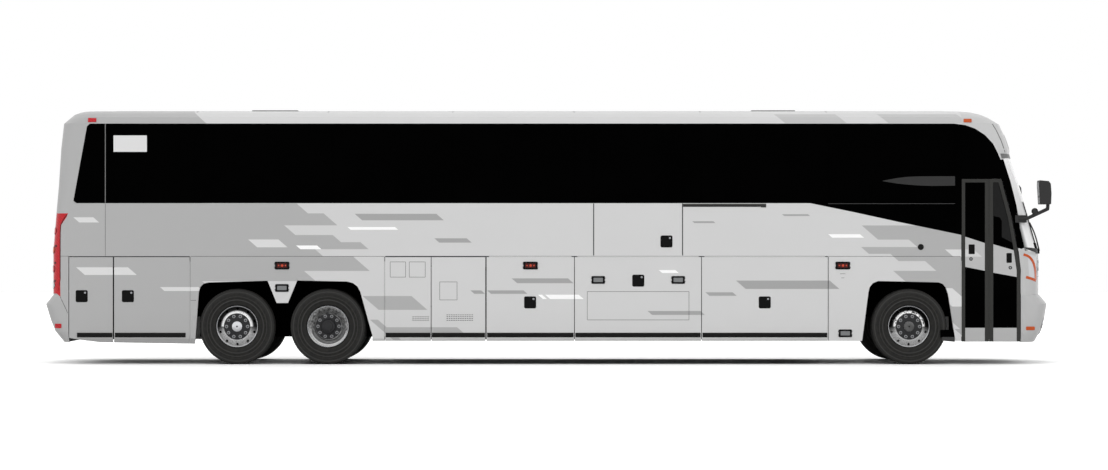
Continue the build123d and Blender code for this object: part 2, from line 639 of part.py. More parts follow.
rear_rails = block((-6560, -6500), (-RAIL_Y[1], RAIL_Y[1]), RAIL_Z)
front_rails = block((6500, 6560), (-RAIL_Y[1], RAIL_Y[1]), RAIL_Z)
for sign in (-1, 1):
    y = span(sign, *RAIL_Y)
    rear_rails = rear_rails + block((-6560, ARCH_PANEL_END - PLATE / 2), y, RAIL_Z)
    front_rails = front_rails + block((BAY_END + PLATE / 2, 6560), y, RAIL_Z)
    for x in (SERVICE_SPLIT, REAR_SEAM + 30):
        rear_rails = rear_rails + block((x - PLATE / 2, x + PLATE / 2), span(sign, 1160, FRAME_Y),
                                        (BAY_FLOOR_Z[0], FLOOR_Z))
        rear_rails = rear_rails + block((x - PLATE / 2, x + PLATE / 2), span(sign, RAIL_Y[0], FRAME_Y), RAIL_Z)
    drop = block((6500, 6560), y, (TOW_PLATE_Z[0], RAIL_Z[1]))
    eye = block((6500, TOW_EYE_X + 50), y, TOW_PLATE_Z)
    hole = Pos(TOW_EYE_X, sign * (RAIL_Y[0] + RAIL_Y[1]) / 2, TOW_PLATE_Z[0]) * Cylinder(TOW_EYE, 100)
    front_rails = front_rails + drop + eye - hole
rear_rails = rear_rails + hinge_plate(-1, SERVICE_SPLIT)
export("frame_rails", rear_rails, front_rails)

bulkheads = []
for x in (ARCH_PANEL_END, BAY_1, BAY_2, BAY_3, BAY_END):
    wall = block((x - PLATE / 2, x + PLATE / 2), (-FRAME_Y, FRAME_Y), (BAY_FLOOR_Z[1], FLOOR_Z))
    if x == BAY_1:
        wall = wall + hinge_plate(-1, climate_hinge_x) + hinge_plate(1, climate_hinge_x)
    bulkheads.append(wall)
export("bulkheads", *bulkheads)
export("bay_floor", block((ARCH_PANEL_END - PLATE / 2, BAY_END + PLATE / 2), (-FRAME_Y, FRAME_Y), BAY_FLOOR_Z))

LINER = 16.0
LINER_Y = 575.0  # outer face of a housing's inner wall
LINER_TOP_Z = 1210.0
SPLASH_Z = 345.0  # lower edge of the guards before and behind the front wheels
housings = []
ARCHES = ((REAR_ARCH[0] - 6, REAR_ARCH[1] + 6, RAIL_Z[0]), (*FRONT_ARCH, SPLASH_Z))
for x0, x1, low in ARCHES:
    for sign in (-1, 1):
        full_y = span(sign, LINER_Y - LINER, IN)
        housing = block((x0 - LINER, x1 + LINER), span(sign, LINER_Y - LINER, LINER_Y), (RAIL_Z[0], FLOOR_Z))
        housing = housing + block((x0 - LINER, x1 + LINER), full_y, (LINER_TOP_Z, LINER_TOP_Z + LINER))
        for x in (x0 - LINER, x1):
            housing = housing + block((x, x + LINER), full_y, (low, FLOOR_Z))
            housing = housing + block((x, x + LINER), span(sign, RAIL_Y[1], LINER_Y), RAIL_Z)
        housings.append(housing)
export("wheel_housings", *housings)

# ---- cabin floor, driver's platform and steps ------------------------------------------
FLOOR_TOP_Z = FLOOR_Z + FLOOR
STAIRS_X = (5640.0, 6330.0)
STEP = 25.0
STAIR_Y = -560.0  # top of the stairs, at the aisle
FLOOR_END = STAIRS_X[0] - STEP
floor = block((-6560, FLOOR_END), (-FRAME_Y, FRAME_Y), (FLOOR_Z, FLOOR_TOP_Z))
for sign in (-1, 1):
    upright = span(sign, 1190, FRAME_Y)
    flange = span(sign, 1190, IN)
    x1 = ENTRANCE_REAR - 40
    floor = floor + block((-6500, x1), upright, (FLOOR_TOP_Z - 5, BELT_Z + 70))
    floor = floor + block((-6500, x1), flange, (BELT_Z + 12, BELT_Z + 70))
export("floor", floor)
export("driver_platform", block((FLOOR_END, 6380), (STAIR_Y + STEP, FRAME_Y), (FLOOR_Z, FLOOR_TOP_Z)))

TREADS = ((340.0, -IN + 6), (670.0, -1010.0), (1000.0, -785.0))  # under side z, outer edge y
stairs = block((FLOOR_END, STAIRS_X[0]), (-IN + 6, STAIR_Y + STEP), (340, FLOOR_Z))
stairs = stairs + block((STAIRS_X[1], STAIRS_X[1] + STEP), (-IN + 6, STAIR_Y + STEP), (340, FLOOR_Z))
riser_y = [y for z, y in TREADS[1:]] + [STAIR_Y]
for (z, y0), y1 in zip(TREADS, riser_y):
    rise = TREADS[1][0] - TREADS[0][0]
    stairs = stairs + block(STAIRS_X, (y0, y1 + STEP), (z, z + STEP))
    stairs = stairs + block(STAIRS_X, (y1, y1 + STEP), (z, min(z + rise, FLOOR_Z)))
export("entrance_steps", stairs)

# ---- engine, seats, driver's place -----------------------------------------------------
export("engine", block((-6350, -5050), (-RAIL_Y[0], RAIL_Y[0]), (RAIL_Z[0] - 150, 1260)))
SEAT_PITCH = 815.0
SEAT_ROWS = 13
SEAT_FIRST_X = 4650.0
seats = []
for row in range(SEAT_ROWS):
    x = SEAT_FIRST_X - row * SEAT_PITCH
    for sign in (-1, 1):
        y = sorted((sign * 255, sign * 1170))
        pedestal = sorted((sign * 500, sign * 900))
        seat = block((x - 230, x + 230), y, (FLOOR_TOP_Z + 330, FLOOR_TOP_Z + 450))
        seat = seat + side_prism(((x - 230, FLOOR_TOP_Z + 380), (x - 110, FLOOR_TOP_Z + 380),
                                  (x - 250, FLOOR_TOP_Z + 1110), (x - 340, FLOOR_TOP_Z + 1110)), y)
        seat = seat + block((x - 150, x + 100), pedestal, (FLOOR_TOP_Z, FLOOR_TOP_Z + 340))
        seats.append(seat)
DRIVER = (5560.0, 620.0)
dx, dy = DRIVER
driver_seat = block((dx - 240, dx + 240), (dy - 250, dy + 250), (FLOOR_TOP_Z + 330, FLOOR_TOP_Z + 440))
driver_seat = driver_seat + block((dx - 330, dx - 210), (dy - 250, dy + 250), (FLOOR_TOP_Z + 340, FLOOR_TOP_Z + 1150))
driver_seat = driver_seat + block((dx - 150, dx + 150), (dy - 150, dy + 150), (FLOOR_TOP_Z, FLOOR_TOP_Z + 340))
dash = block((6250, 6380), (-480, 1100), (FLOOR_TOP_Z, FLOOR_TOP_Z + 560))
tilt = Rot(0, -45, 0)
column = Pos(6150, dy, FLOOR_TOP_Z + 510) * tilt * Cylinder(30, 340)
wheel_place = Pos(6030, dy, FLOOR_TOP_Z + 630) * tilt
steering = wheel_place * Torus(225, 17) + wheel_place * Box(440, 40, 16) + wheel_place * Cylinder(50, 40)
export("seats", *seats, driver_seat)
export("dashboard", dash + column + steering)

# ---- mirrors ---------------------------------------------------------------------------
MIRROR_HEAD = ((6652.0, 2180.0), (6800.0, 2180.0), (6806.0, 2330.0), (6796.0, 2460.0),
               (6770.0, 2496.0), (6640.0, 2508.0), (6636.0, 2440.0))
MIRROR_HEAD_Y = (1330.0, 1570.0)
MIRROR_ARM = ((6365.0, 1300.0, 1985.0), (6500.0, 1370.0, 1990.0), (6615.0, 1425.0, 2046.0),
              (6768.0, 1450.0, 2118.0), (6772.0, 1450.0, 2190.0))
ARM_RADIUS = 24.0
MIRROR_KNOB = 46.0
# Foot of the arm on the pillar, inside the circle that the front entrance leaf swings round
MIRROR_FOOT = ((6345.0, 6500.0), (1230.0, 1330.0), (1935.0, 2035.0))
OUTSET = shell_solid(-SEAT_FIT)


def bar(radius, start, end):
    """A round bar between two points, with round ends."""
    a, b = Vector(*start), Vector(*end)
    rod = Plane(origin=(a + b) / 2, z_dir=b - a) * Cylinder(radius, (b - a).length)
    return rod + Pos(*a) * Sphere(radius) + Pos(*b) * Sphere(radius)


mirrors = []
for side in SIDES:
    arm = block(*MIRROR_FOOT)
    for start, end in zip(MIRROR_ARM, MIRROR_ARM[1:]):
        arm = arm + bar(ARM_RADIUS, start, end)
    knob_x, knob_y, knob_z = MIRROR_ARM[2]
    arm = arm + Pos(knob_x - 18, knob_y, knob_z + 40) * Sphere(MIRROR_KNOB)
    arm = arm - OUTSET
    head = fillet(side_prism(MIRROR_HEAD, MIRROR_HEAD_Y).edges(), 12)
    piece = arm + head
    mirrors.append(piece if side == "street" else mirrored(piece))
export("mirrors", *mirrors)
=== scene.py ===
"""Looks for the three-axle commuter coach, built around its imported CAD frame.

Metres. +X is the front of the bus, -Y its kerb side, +Z is up. An outline is a list of (x, z)
points for a side of the bus, (y, z) for its front or rear, and (x, y) for its top.
"""

import math

import bmesh
import bpy
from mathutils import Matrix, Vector
from mathutils.bvhtree import BVHTree


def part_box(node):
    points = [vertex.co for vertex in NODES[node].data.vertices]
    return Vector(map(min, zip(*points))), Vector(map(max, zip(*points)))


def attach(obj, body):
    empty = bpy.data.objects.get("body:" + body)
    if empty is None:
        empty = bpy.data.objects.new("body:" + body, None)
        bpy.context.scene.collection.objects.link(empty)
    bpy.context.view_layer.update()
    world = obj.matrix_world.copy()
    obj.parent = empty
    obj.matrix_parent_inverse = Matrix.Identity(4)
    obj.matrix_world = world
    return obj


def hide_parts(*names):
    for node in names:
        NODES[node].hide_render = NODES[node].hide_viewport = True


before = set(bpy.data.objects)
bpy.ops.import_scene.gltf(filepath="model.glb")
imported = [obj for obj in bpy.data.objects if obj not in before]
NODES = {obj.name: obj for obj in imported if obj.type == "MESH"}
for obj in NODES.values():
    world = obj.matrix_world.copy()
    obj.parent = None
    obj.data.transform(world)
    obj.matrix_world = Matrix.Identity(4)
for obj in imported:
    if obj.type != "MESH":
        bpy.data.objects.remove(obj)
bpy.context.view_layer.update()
scene = bpy.context.scene

SIGN = {"kerb": -1.0, "street": 1.0}
HALF = 1.295  # half the body's width


def add_object(name, data, location=(0, 0, 0), rotation=(0, 0, 0)):
    """A new object in the scene."""
    obj = bpy.data.objects.new(name, data)
    obj.location = location
    obj.rotation_euler = rotation
    scene.collection.objects.link(obj)
    return obj


# ---- camera and light ----
CAMERA_AT = (-0.1385, -48.695, 1.4646)
camera_data = bpy.data.cameras.new("camera")
camera_data.lens = 112.83
camera_data.sensor_width = 36.0
camera_data.shift_x = 0.01264
camera_data.shift_y = 0.01986
camera_data.clip_end = 400.0
scene.camera = add_object("camera", camera_data, CAMERA_AT, (math.radians(90), 0, 0))
scene.view_settings.view_transform = "Standard"
sun = bpy.data.lights.new("overhead", "SUN")
sun.energy = 0.15
sun.angle = math.radians(12)
add_object("overhead", sun, (0, 0, 10), (math.radians(8), 0, 0))


def srgb(tone):
    """Linear RGBA from a grey level of 0 to 255, or from three levels."""
    out = []
    for level in tone if isinstance(tone, tuple) else (tone,) * 3:
        c = level / 255
        out.append(c / 12.92 if c <= 0.04045 else ((c + 0.055) / 1.055) ** 2.4)
    return (*out, 1.0)


class Nodes:
    """The node tree of a material or a world, and short calls that add to it."""

    def __init__(self, owner, coordinates):
        owner.use_nodes = True
        self.tree = owner.node_tree
        self.tree.nodes.clear()
        self.coords = self.node("TexCoord").outputs[coordinates]

    def set(self, target, value):
        """Sets a socket from a number, a colour or another node's output."""
        if isinstance(value, bpy.types.NodeSocket):
            self.tree.links.new(value, target)
        else:
            target.default_value = value

    def node(self, kind, *inputs, **settings):
        """A node with its first sockets set from the inputs."""
        n = self.tree.nodes.new("ShaderNode" + kind)
        for key, value in settings.items():
            setattr(n, key, value)
        for socket, value in zip(n.inputs, inputs):
            self.set(socket, value)
        return n

    def math(self, operation, *values):
        return self.node("Math", *values, operation=operation).outputs[0]

    def mul(self, a, b):
        return self.math("MULTIPLY", a, b)

    def mix(self, factor, a, b):
        return self.node("MixRGB", factor, a, b).outputs[0]

    def axes(self):
        return self.node("SeparateXYZ", self.coords).outputs

    def noise(self, size, detail=2.0, roughness=0.5):
        """Noise whose lumps are about size metres across."""
        n = self.node("TexNoise", self.coords)
        for key, value in (("Scale", 1.0 / size), ("Detail", detail), ("Roughness", roughness)):
            n.inputs[key].default_value = value
        return n.outputs["Fac"]

    def ramp(self, factor, *stops):
        """A ramp through (place, number or colour) stops."""
        n = self.node("ValToRGB", factor)
        elements = n.color_ramp.elements
        while len(elements) < len(stops):
            elements.new(1.0)
        for element, (place, value) in zip(elements, stops):
            element.position = place
            element.color = value if hasattr(value, "__len__") else (value, value, value, 1)
        return n.outputs[0]

    def greys(self, factor, *stops):
        """A ramp through (place, grey level) stops."""
        return self.ramp(factor, *((place, srgb(level)) for place, level in stops))


WORLD_DIFFUSE = 2.75  # strength of the soft light where it is strongest
END_LOSS = 0.70  # how much weaker it is from straight ahead and astern
LIGHT_BY_HEIGHT = ((0.0, 0.20), (0.25, 1.0), (0.60, 0.69), (1.0, 0.12))  # height, share of the strength
scene.world = bpy.data.worlds.new("studio")
w = Nodes(scene.world, "Generated")
x, _, z = w.axes()
ends = w.math("MULTIPLY_ADD", w.math("ABSOLUTE", x), -END_LOSS, 1.0)
soft = w.mul(w.mul(ends, w.ramp(z, *LIGHT_BY_HEIGHT)), WORLD_DIFFUSE)
rays = w.node("LightPath").outputs
seen = w.math("MAXIMUM", rays["Is Camera Ray"], rays["Is Glossy Ray"])
seen = w.math("MAXIMUM", seen, rays["Is Transmission Ray"])
lit, plain = (w.node("Background", (1, 1, 1, 1), strength).outputs[0] for strength in (soft, 1.0))
w.node("OutputWorld", w.node("MixShader", seen, lit, plain).outputs[0])


# ---- materials ----
class Shader(Nodes):
    """A principled material."""

    def __init__(self, name, tone, roughness=0.5, metallic=0.0, specular=0.5, **sockets):
        self.material = bpy.data.materials.new(name)
        super().__init__(self.material, "Object")
        self.bsdf = self.node("BsdfPrincipled")
        self.out = self.node("OutputMaterial", self.bsdf.outputs[0])
        sockets.update(Base_Color=tone, Roughness=roughness, Metallic=metallic, Specular_IOR_Level=specular)
        for key, value in sockets.items():
            self.bsdf.inputs[key.replace("_", " ")].default_value = value

    def colour(self, value):
        self.set(self.bsdf.inputs["Base Color"], value)

    def rough(self, factor, low, high):
        self.set(self.bsdf.inputs["Roughness"], self.ramp(factor, (0.3, low), (0.7, high)))

    def bump(self, height, strength, distance):
        n = self.node("Bump")
        for key, value in (("Strength", strength), ("Distance", distance), ("Height", height)):
            self.set(n.inputs[key], value)
        self.set(self.bsdf.inputs["Normal"], n.outputs[0])


SLANT = 1.15  # the livery's slanted ends: metres along the bus for each metre down
LIGHT_GREY = srgb(208)
DARK_GREY = srgb(176)
# Rear dark field: lower edge, upper edge, and where its slanted end meets the upper edge
REAR_FIELD = (
    (3.28, 3.62, -5.075), (2.196, 3.28, -6.000), (2.06, 2.196, -3.462), (1.897, 2.06, -3.092),
    (1.765, 1.897, -3.630), (1.667, 1.765, -2.967), (1.571, 1.667, -2.589), (1.474, 1.571, -3.210),
    (1.274, 1.474, -2.692), (1.135, 1.274, -3.359), (0.20, 1.135, -4.750),
)
# Front dark field: the same, and it runs forward from its slanted end to the entrance
FRONT_FIELD = (
    (1.702, 1.895, 4.254), (1.601, 1.702, 4.896), (1.507, 1.601, 4.244), (1.409, 1.507, 4.644),
    (1.276, 1.409, 5.118), (0.482, 1.276, 4.683), (0.20, 0.482, 5.520),
)
FRONT_FIELD_END = 6.40
# Slanted blocks over the fields, by tone: left and right end at the upper edge, lower, upper edge
BLOCKS = {
    219: ((-6.509, -6.237, 1.936, 2.007), (-6.471, -5.762, 1.220, 1.324), (-5.326, -4.800, 1.001, 1.054),
          (-4.122, -3.708, 1.597, 1.704), (5.390, 5.780, 1.469, 1.568), (5.200, 5.488, 0.788, 1.039)),
    255: ((-3.468, -3.181, 1.571, 1.622), (-2.766, -2.118, 1.836, 1.874), (-0.166, -0.111, 0.891, 0.950),
          (-0.068, 0.391, 0.891, 0.950), (1.482, 1.710, 1.246, 1.287), (3.795, 4.229, 1.728, 1.776)),
    166: ((-2.668, -1.553, 1.966, 2.054), (-1.581, -1.138, 1.661, 1.720), (-1.089, -0.941, 0.962, 1.009),
          (-0.862, -0.364, 0.962, 1.009), (-0.526, 0.244, 1.107, 1.173), (1.330, 2.050, 0.674, 0.728),
          (1.940, 2.227, 1.927, 1.953), (3.165, 3.520, 2.024, 2.049), (2.119, 2.492, 0.935, 0.983),
          (2.537, 3.816, 1.028, 1.143)),
    176: ((-2.559, -1.893, 0.743, 0.932), (-2.459, -2.351, 0.332, 0.609), (-2.247, -1.271, 0.429, 0.506)),
    190: ((3.060, 3.900, 3.290, 3.420), (4.470, 5.560, 3.290, 3.420)),
}
# Painted shade on the front, darker than the sides as less light falls on it: x from, z from, z to, tone
FRONT_SHADE_TONES = ((5.62, 1.600, 4.0, 197), (6.42, 0.945, 1.600, 189), (6.42, 0.0, 0.945, 184))
LIP_TOP = 0.352  # the doors' lower edge turns in, and below this it is painted darker as shade
LIP_SHADE = 0.22
LIP_ENDS = (-6.560, 3.800)


def livery(s):
    """The paint's colour: slanted blocks in two greys, by place along and up the bus, with painted shade on the front
    and along the doors' turned-in lower edge.
    """
    x, _, z = s.axes()
    lean = s.math("MULTIPLY_ADD", z, SLANT, x)

    def inside(value, low, high):
        return s.math("COMPARE", value, (low + high) / 2, (high - low) / 2)

    def slanted(left, right, low, high):
        return s.mul(inside(z, low, high), inside(lean, left + SLANT * high, right + SLANT * high))

    colour = s.mix(s.noise(0.9, 1.0), LIGHT_GREY, srgb(211))
    for low, high, end in REAR_FIELD:
        mask = s.mul(inside(z, low, high), inside(lean, -20.0, end + SLANT * high))
        colour = s.mix(mask, colour, DARK_GREY)
    ahead = s.math("LESS_THAN", x, FRONT_FIELD_END)
    for low, high, start in FRONT_FIELD:
        mask = s.mul(inside(z, low, high), inside(lean, start + SLANT * high, 20.0))
        colour = s.mix(s.mul(mask, ahead), colour, DARK_GREY)
    for level, blocks in BLOCKS.items():
        for block in blocks:
            colour = s.mix(slanted(*block), colour, srgb(level))
    # painted shade over the front
    for back, low, high, level in FRONT_SHADE_TONES:
        colour = s.mix(s.mul(s.math("GREATER_THAN", x, back), inside(z, low, high)), colour, srgb(level))
    # painted shade below the doors' turned-in lower edge
    lip = s.mul(inside(z, 0.0, LIP_TOP), inside(x, *LIP_ENDS))
    return s.mix(s.mul(lip, LIP_SHADE), colour, (0, 0, 0, 1))


def painted(name, level=None):
    """Gloss coach paint, in the livery or one grey: faint orange peel, a little road film low down."""
    tone = srgb(level) if level else LIGHT_GREY
    s = Shader(name, tone, 0.35, specular=0.12, Coat_Weight=0.10, Coat_Roughness=0.06)
    base = s.mix(s.noise(0.9, 1.0), tone, tuple(c * 1.02 for c in tone)) if level else livery(s)
    film = s.mul(s.ramp(s.axes()[2], (0.25, 0.10), (0.75, 0.0)), s.noise(0.25, 4.0))
    s.colour(s.mix(film, base, srgb((120, 116, 110))))
    s.rough(s.noise(0.4, 3.0), 0.30, 0.40)
    s.bump(s.noise(0.004, 1.0), 0.03, 0.001)
    return s.material


def black_glass():
    """Dark tinted safety glass, black at its ceramic edge and nearly so elsewhere."""
    s = Shader("tinted_glass", srgb(1), 0.05, specular=0.0, Coat_Weight=0.06, Coat_IOR=1.2)
    s.colour(s.mix(s.noise(0.6, 2.0), srgb(0), srgb(2)))
    s.rough(s.noise(0.2, 3.0), 0.03, 0.08)
    s.bump(s.noise(0.5, 1.0), 0.01, 0.002)
    return s.material


def windshield_glass(clear=0.85):
    """Clear glass: seen through square on, and at a slant a painted bright reflection in its colour."""
    dim = srgb(40)
    s = Shader("windshield_pane", dim, 0.02)
    facing = s.node("LayerWeight", 0.5).outputs["Facing"]
    # painted reflection: the colour turns bright where the glass is seen at a slant
    slant_painted_reflection = s.ramp(facing, (0.05, dim), (0.20, srgb(240)))
    s.colour(s.mix(s.ramp(s.noise(0.5, 2.0), (0.4, 0.0), (0.6, 0.12)), slant_painted_reflection, srgb(120)))
    through = s.ramp(facing, (0.03, clear), (0.12, clear * 0.5), (0.22, 0.0))
    pane = s.node("BsdfTransparent", (0.86, 0.88, 0.88, 1.0)).outputs[0]
    s.set(s.out.inputs[0], s.node("MixShader", through, s.bsdf.outputs[0], pane).outputs[0])
    return s.material


def moulded(name, tone, rough=(0.45, 0.6), grain=0.0012, depth=0.15, shade=0.12, **look):
    """A moulded or coated surface with a fine grain and slightly uneven colour."""
    tone = srgb(tone)
    s = Shader(name, tone, rough[0], **look)
    s.colour(s.mix(s.noise(0.12, 4.0), tone, tuple(c * (1 - shade) for c in tone[:3]) + (1.0,)))
    s.rough(s.noise(0.05, 3.0), *rough)
    s.bump(s.noise(grain, 2.0), depth, 0.0005)
    return s.material


def lens(name, deep, bright, pitch):
    """Ribbed coloured lamp lens."""
    deep, bright = srgb(deep), srgb(bright)
    s = Shader(name, bright, 0.15, specular=0.15, Coat_Weight=0.25, Coat_Roughness=0.04)
    x, _, z = s.axes()
    ribs = s.math("DIVIDE", s.math("PINGPONG", s.math("ADD", x, z), pitch), pitch)
    s.colour(s.mix(s.mul(ribs, s.noise(0.06, 2.0)), deep, bright))
    s.rough(s.noise(0.03, 2.0), 0.10, 0.22)
    s.bump(ribs, 0.15, 0.002)
    return s.material


def from_axle(s, centre_x=0.0, centre_z=0.0):
    """Distance from a wheel's axis, and height above it."""
    x, _, z = s.axes()
    dx, dz = s.math("SUBTRACT", x, centre_x), s.math("SUBTRACT", z, centre_z)
    return s.math("SQRT", s.math("ADD", s.mul(dx, dx), s.mul(dz, dz))), dz


AXLE_Z = TYRE_R = 0.515


def rubber():
    """Tyre rubber: moulded rings on the sidewall with thin lighter rings painted on as highlights, dust, and a rougher
    tread.
    """
    s = Shader("tyre_rubber", srgb(40), 0.75, specular=0.06)
    # painted highlights: thin lighter rings on the sidewall and shoulder
    ring = s.greys(
        s.math("DIVIDE", from_axle(s)[0], TYRE_R),
        (0.55, 32), (0.60, 44), (0.680, 36), (0.705, 68), (0.725, 36), (0.775, 34), (0.790, 62), (0.805, 38),
        (0.86, 42), (0.900, 48), (0.918, 66), (0.935, 42), (0.97, 54), (1.0, 38),
    )
    dust = s.ramp(s.noise(0.05, 6.0, 0.65), (0.35, 0.0), (0.8, 1.0))
    s.colour(s.mix(s.mul(dust, 0.40), ring, srgb((66, 64, 58))))
    s.rough(s.noise(0.02, 4.0), 0.65, 0.85)
    s.bump(s.noise(0.0016, 3.0), 0.3, 0.0006)
    return s.material


def polished(style, centre_x):
    """Polished forged aluminium whose colour is painted light: painted reflections and shade that differ above and
    below the axle, as if the disc were in the shade of its arch above, bright painted rings, and darker mottling.
    """
    drive, tag = style == "drive", style == "tag"
    s = Shader("polished_" + style, srgb(190), 0.30, 0.15 if drive else 0.55, 0.3)
    radius, up = from_axle(s, centre_x, AXLE_Z)
    down = s.math("DIVIDE", s.mul(up, -1.0), radius)
    mottle = s.noise(0.035, 4.0)
    if drive:
        # painted reflections: mottled above the axle, bright and dark rings by radius below it
        upper = s.greys(mottle, (0.35, 112), (0.5, 186), (0.68, 244))
        lower = s.greys(radius, (0.150, 110), (0.160, 252), (0.186, 255), (0.196, 90), (0.206, 214), (0.226, 200),
                        (0.236, 64), (0.250, 246), (0.284, 226))
        lower = s.mix(s.ramp(mottle, (0.50, 0.0), (0.75, 0.30)), lower, srgb(80))
        tone = s.mix(s.ramp(down, (0.15, 0.0), (0.45, 1.0)), upper, lower)
        middle = s.greys(s.noise(0.03, 3.0), (0.4, 44), (0.6, 112))
        tone = s.mix(s.ramp(radius, (0.148, 1.0), (0.156, 0.0)), tone, middle)
    else:
        # painted shade and reflection: the outer band dark above the axle and light below; the ring round the hub
        # bright at the top, mid grey at the sides, light below
        rim = s.mix(s.ramp(down, (-0.12, 0.0), (0.38, 1.0)), srgb(58 if tag else 26), srgb(206))
        ring = s.mix(s.ramp(mottle, (0.5, 0.0), (0.6, 1.0)), srgb(246), srgb(246 if tag else 60))
        ring = s.mix(s.ramp(down, (-0.62, 0.0), (-0.2, 1.0)), ring, srgb(112))
        ring = s.mix(s.ramp(down, (0.05, 0.0), (0.45, 1.0)), ring, srgb(214))
        tone = s.mix(s.ramp(radius, (0.212, 0.0), (0.222, 1.0)), ring, rim)
        tone = s.mix(s.ramp(mottle, (0.5, 0.0), (0.75, 0.22)), tone, srgb(70))
    s.colour(tone)
    s.rough(s.noise(0.01, 2.0), 0.24, 0.36)
    s.bump(s.math("SINE", s.mul(radius, 900.0)), 0.04, 0.0004)
    return s.material


def moquette(pitch=1400.0):
    """Woven seat cloth: a small twill in two blues, with a soft nap."""
    s = Shader("moquette", srgb((46, 54, 78)), 0.9, specular=0.1, Sheen_Weight=0.35, Sheen_Roughness=0.5)
    x, y, z = s.axes()
    warp = s.math("SINE", s.mul(s.math("ADD", y, z), pitch))
    weft = s.math("SINE", s.mul(s.math("SUBTRACT", x, z), pitch))
    blend = s.ramp(s.noise(0.03, 3.0), (0.45, 0.0), (0.55, 1.0))
    s.colour(s.mix(blend, srgb((40, 48, 72)), srgb((62, 72, 98))))
    s.bump(s.mul(warp, weft), 0.3, 0.0008)
    s.rough(s.noise(0.05, 2.0), 0.85, 0.95)
    return s.material


PAINT = painted("coach_paint")
GLASS = black_glass()
TYRE = rubber()
SEAT = moquette()
BLACK_TRIM = moulded("black_trim", 26, specular=0.10)
BLACK_GLOSS = moulded("black_gloss", 8, (0.12, 0.2), 0.01, 0.03, specular=0.10)
HATCH_GREY = moulded("hatch_grey", 44, (0.5, 0.65), 0.002, 0.2, specular=0.12)
DOOR_STRIP = moulded("door_strip", (51, 51, 49), (0.4, 0.55), specular=0.2)
SEAM = moulded("seam", 70, (0.7, 0.8), specular=0.1)
SEAM_LIGHT = moulded("seam_light", 128, (0.6, 0.7), specular=0.1)
JOINT_BLACK = moulded("joint_rubber", 2, (0.6, 0.7), specular=0.0)
UNDERBODY = moulded("underbody", 3, (0.7, 0.9), 0.004, 0.3, specular=0.0)
FLOORING = moulded("flooring", (70, 71, 74), (0.6, 0.8), 0.002, 0.3, specular=0.2)
COWL = moulded("cowl", 66, (0.5, 0.6), 0.002, 0.3, specular=0.1)
GREY_LIP = moulded("grey_lip", 118, (0.4, 0.5), specular=0.15)
PLATE = moulded("pale_plate", 222, (0.5, 0.6), 0.004, 0.05, 0.03, specular=0.1)
STEEL = moulded("steel", (170, 172, 175), (0.25, 0.4), 0.002, 0.1, metallic=1.0)
CAP_METAL = moulded("cap_metal", (226, 227, 230), (0.14, 0.22), 0.004, 0.05, metallic=1.0)
SEAT_STEEL = moulded("seat_steel", 58, (0.4, 0.55), metallic=0.5)
MIRROR_FACE = moulded("mirror_face", (200, 205, 210), (0.02, 0.05), 0.05, 0.01, 0.02, metallic=1.0)
MIRROR_DARK = moulded("mirror_dark", (74, 76, 80), (0.25, 0.35), 0.05, 0.01, 0.02, metallic=0.6)
LAMP_BACK = moulded("lamp_back", 150, (0.2, 0.3), 0.004, 0.05, 0.1, metallic=0.3)
LIT_BULB = moulded("lit_bulb", (206, 60, 18), (0.2, 0.3), 0.01, 0.05)
GREY_LENS = moulded("grey_lens", (126, 128, 129), (0.15, 0.3), 0.006, 0.4, specular=0.3)
AMBER = lens("amber_lens", (176, 70, 26), (226, 108, 52), 0.006)
RED = lens("red_lens", (176, 24, 34), (216, 52, 58), 0.02)
MARKER_RED = lens("marker_red", (34, 5, 3), (112, 20, 8), 0.010)
LAMP_DARK = lens("lamp_dark", (60, 6, 10), (110, 16, 20), 0.01)
CLEAR_LENS = lens("clear_lens", 196, 232, 0.012)

# ---- CAD nodes take their materials, and every other node is painted ----
FINISH = {}
for material, names in (
    (GLASS, "side_glass entrance_leaf_rear entrance_leaf_front"),
    (windshield_glass(), "windshield"),
    (moulded("headlamp_lens", (206, 207, 209), (0.06, 0.12), 0.01, 0.1, 0.05, Coat_Weight=0.5), "headlamps"),
    (RED, "tail_lamps"),
    (UNDERBODY, "frame_rails bulkheads bay_floor wheel_housings front_axle rear_axles knuckle_kerb knuckle_street"),
    (FLOORING, "floor driver_platform"),
    (moulded("steps", 22, (0.7, 0.9), 0.003, 0.3, specular=0.05), "entrance_steps"),
    (moulded("cast_iron", (66, 64, 62), (0.55, 0.8), 0.003, 0.5, metallic=0.6), "engine"),
    (moulded("dash", (52, 53, 56), (0.5, 0.7), 0.0015, 0.4, specular=0.25), "dashboard"),
    (moulded("mirror_black", 50, (0.35, 0.5), 0.0015, 0.2, specular=0.20), "mirrors"),
    (SEAT, "seats"),
    (HATCH_GREY, "roof_hatch_rear roof_hatch_front"),
):
    FINISH.update(dict.fromkeys(names.split(), material))
WHEEL_X = {"front": 4.904, "drive": -3.036, "tag": -4.277}
for axle, x in WHEEL_X.items():
    FINISH.update(dict.fromkeys([f"rim_{axle}_{side}" for side in SIGN], polished(axle, x)))
for name, obj in NODES.items():
    material = FINISH.get(name, PAINT)
    if not obj.material_slots:
        obj.data.materials.append(material)
    for material_slot in obj.material_slots:
        material_slot.material = material
SMOOTH_NODES = ("front_cap rear_cap roof nose_panel front_bumper rear_bumper windshield headlamps tail_lamps "
                "side_glass mirrors")
for name in SMOOTH_NODES.split():
    modifiers = NODES[name].modifiers
    modifiers.new("weld", "WELD").merge_threshold = 0.00002
    split = modifiers.new("split", "EDGE_SPLIT")
    split.split_angle = math.radians(27)
    split.use_edge_sharp = False
    modifiers.new("normals", "WEIGHTED_NORMAL").keep_sharp = False


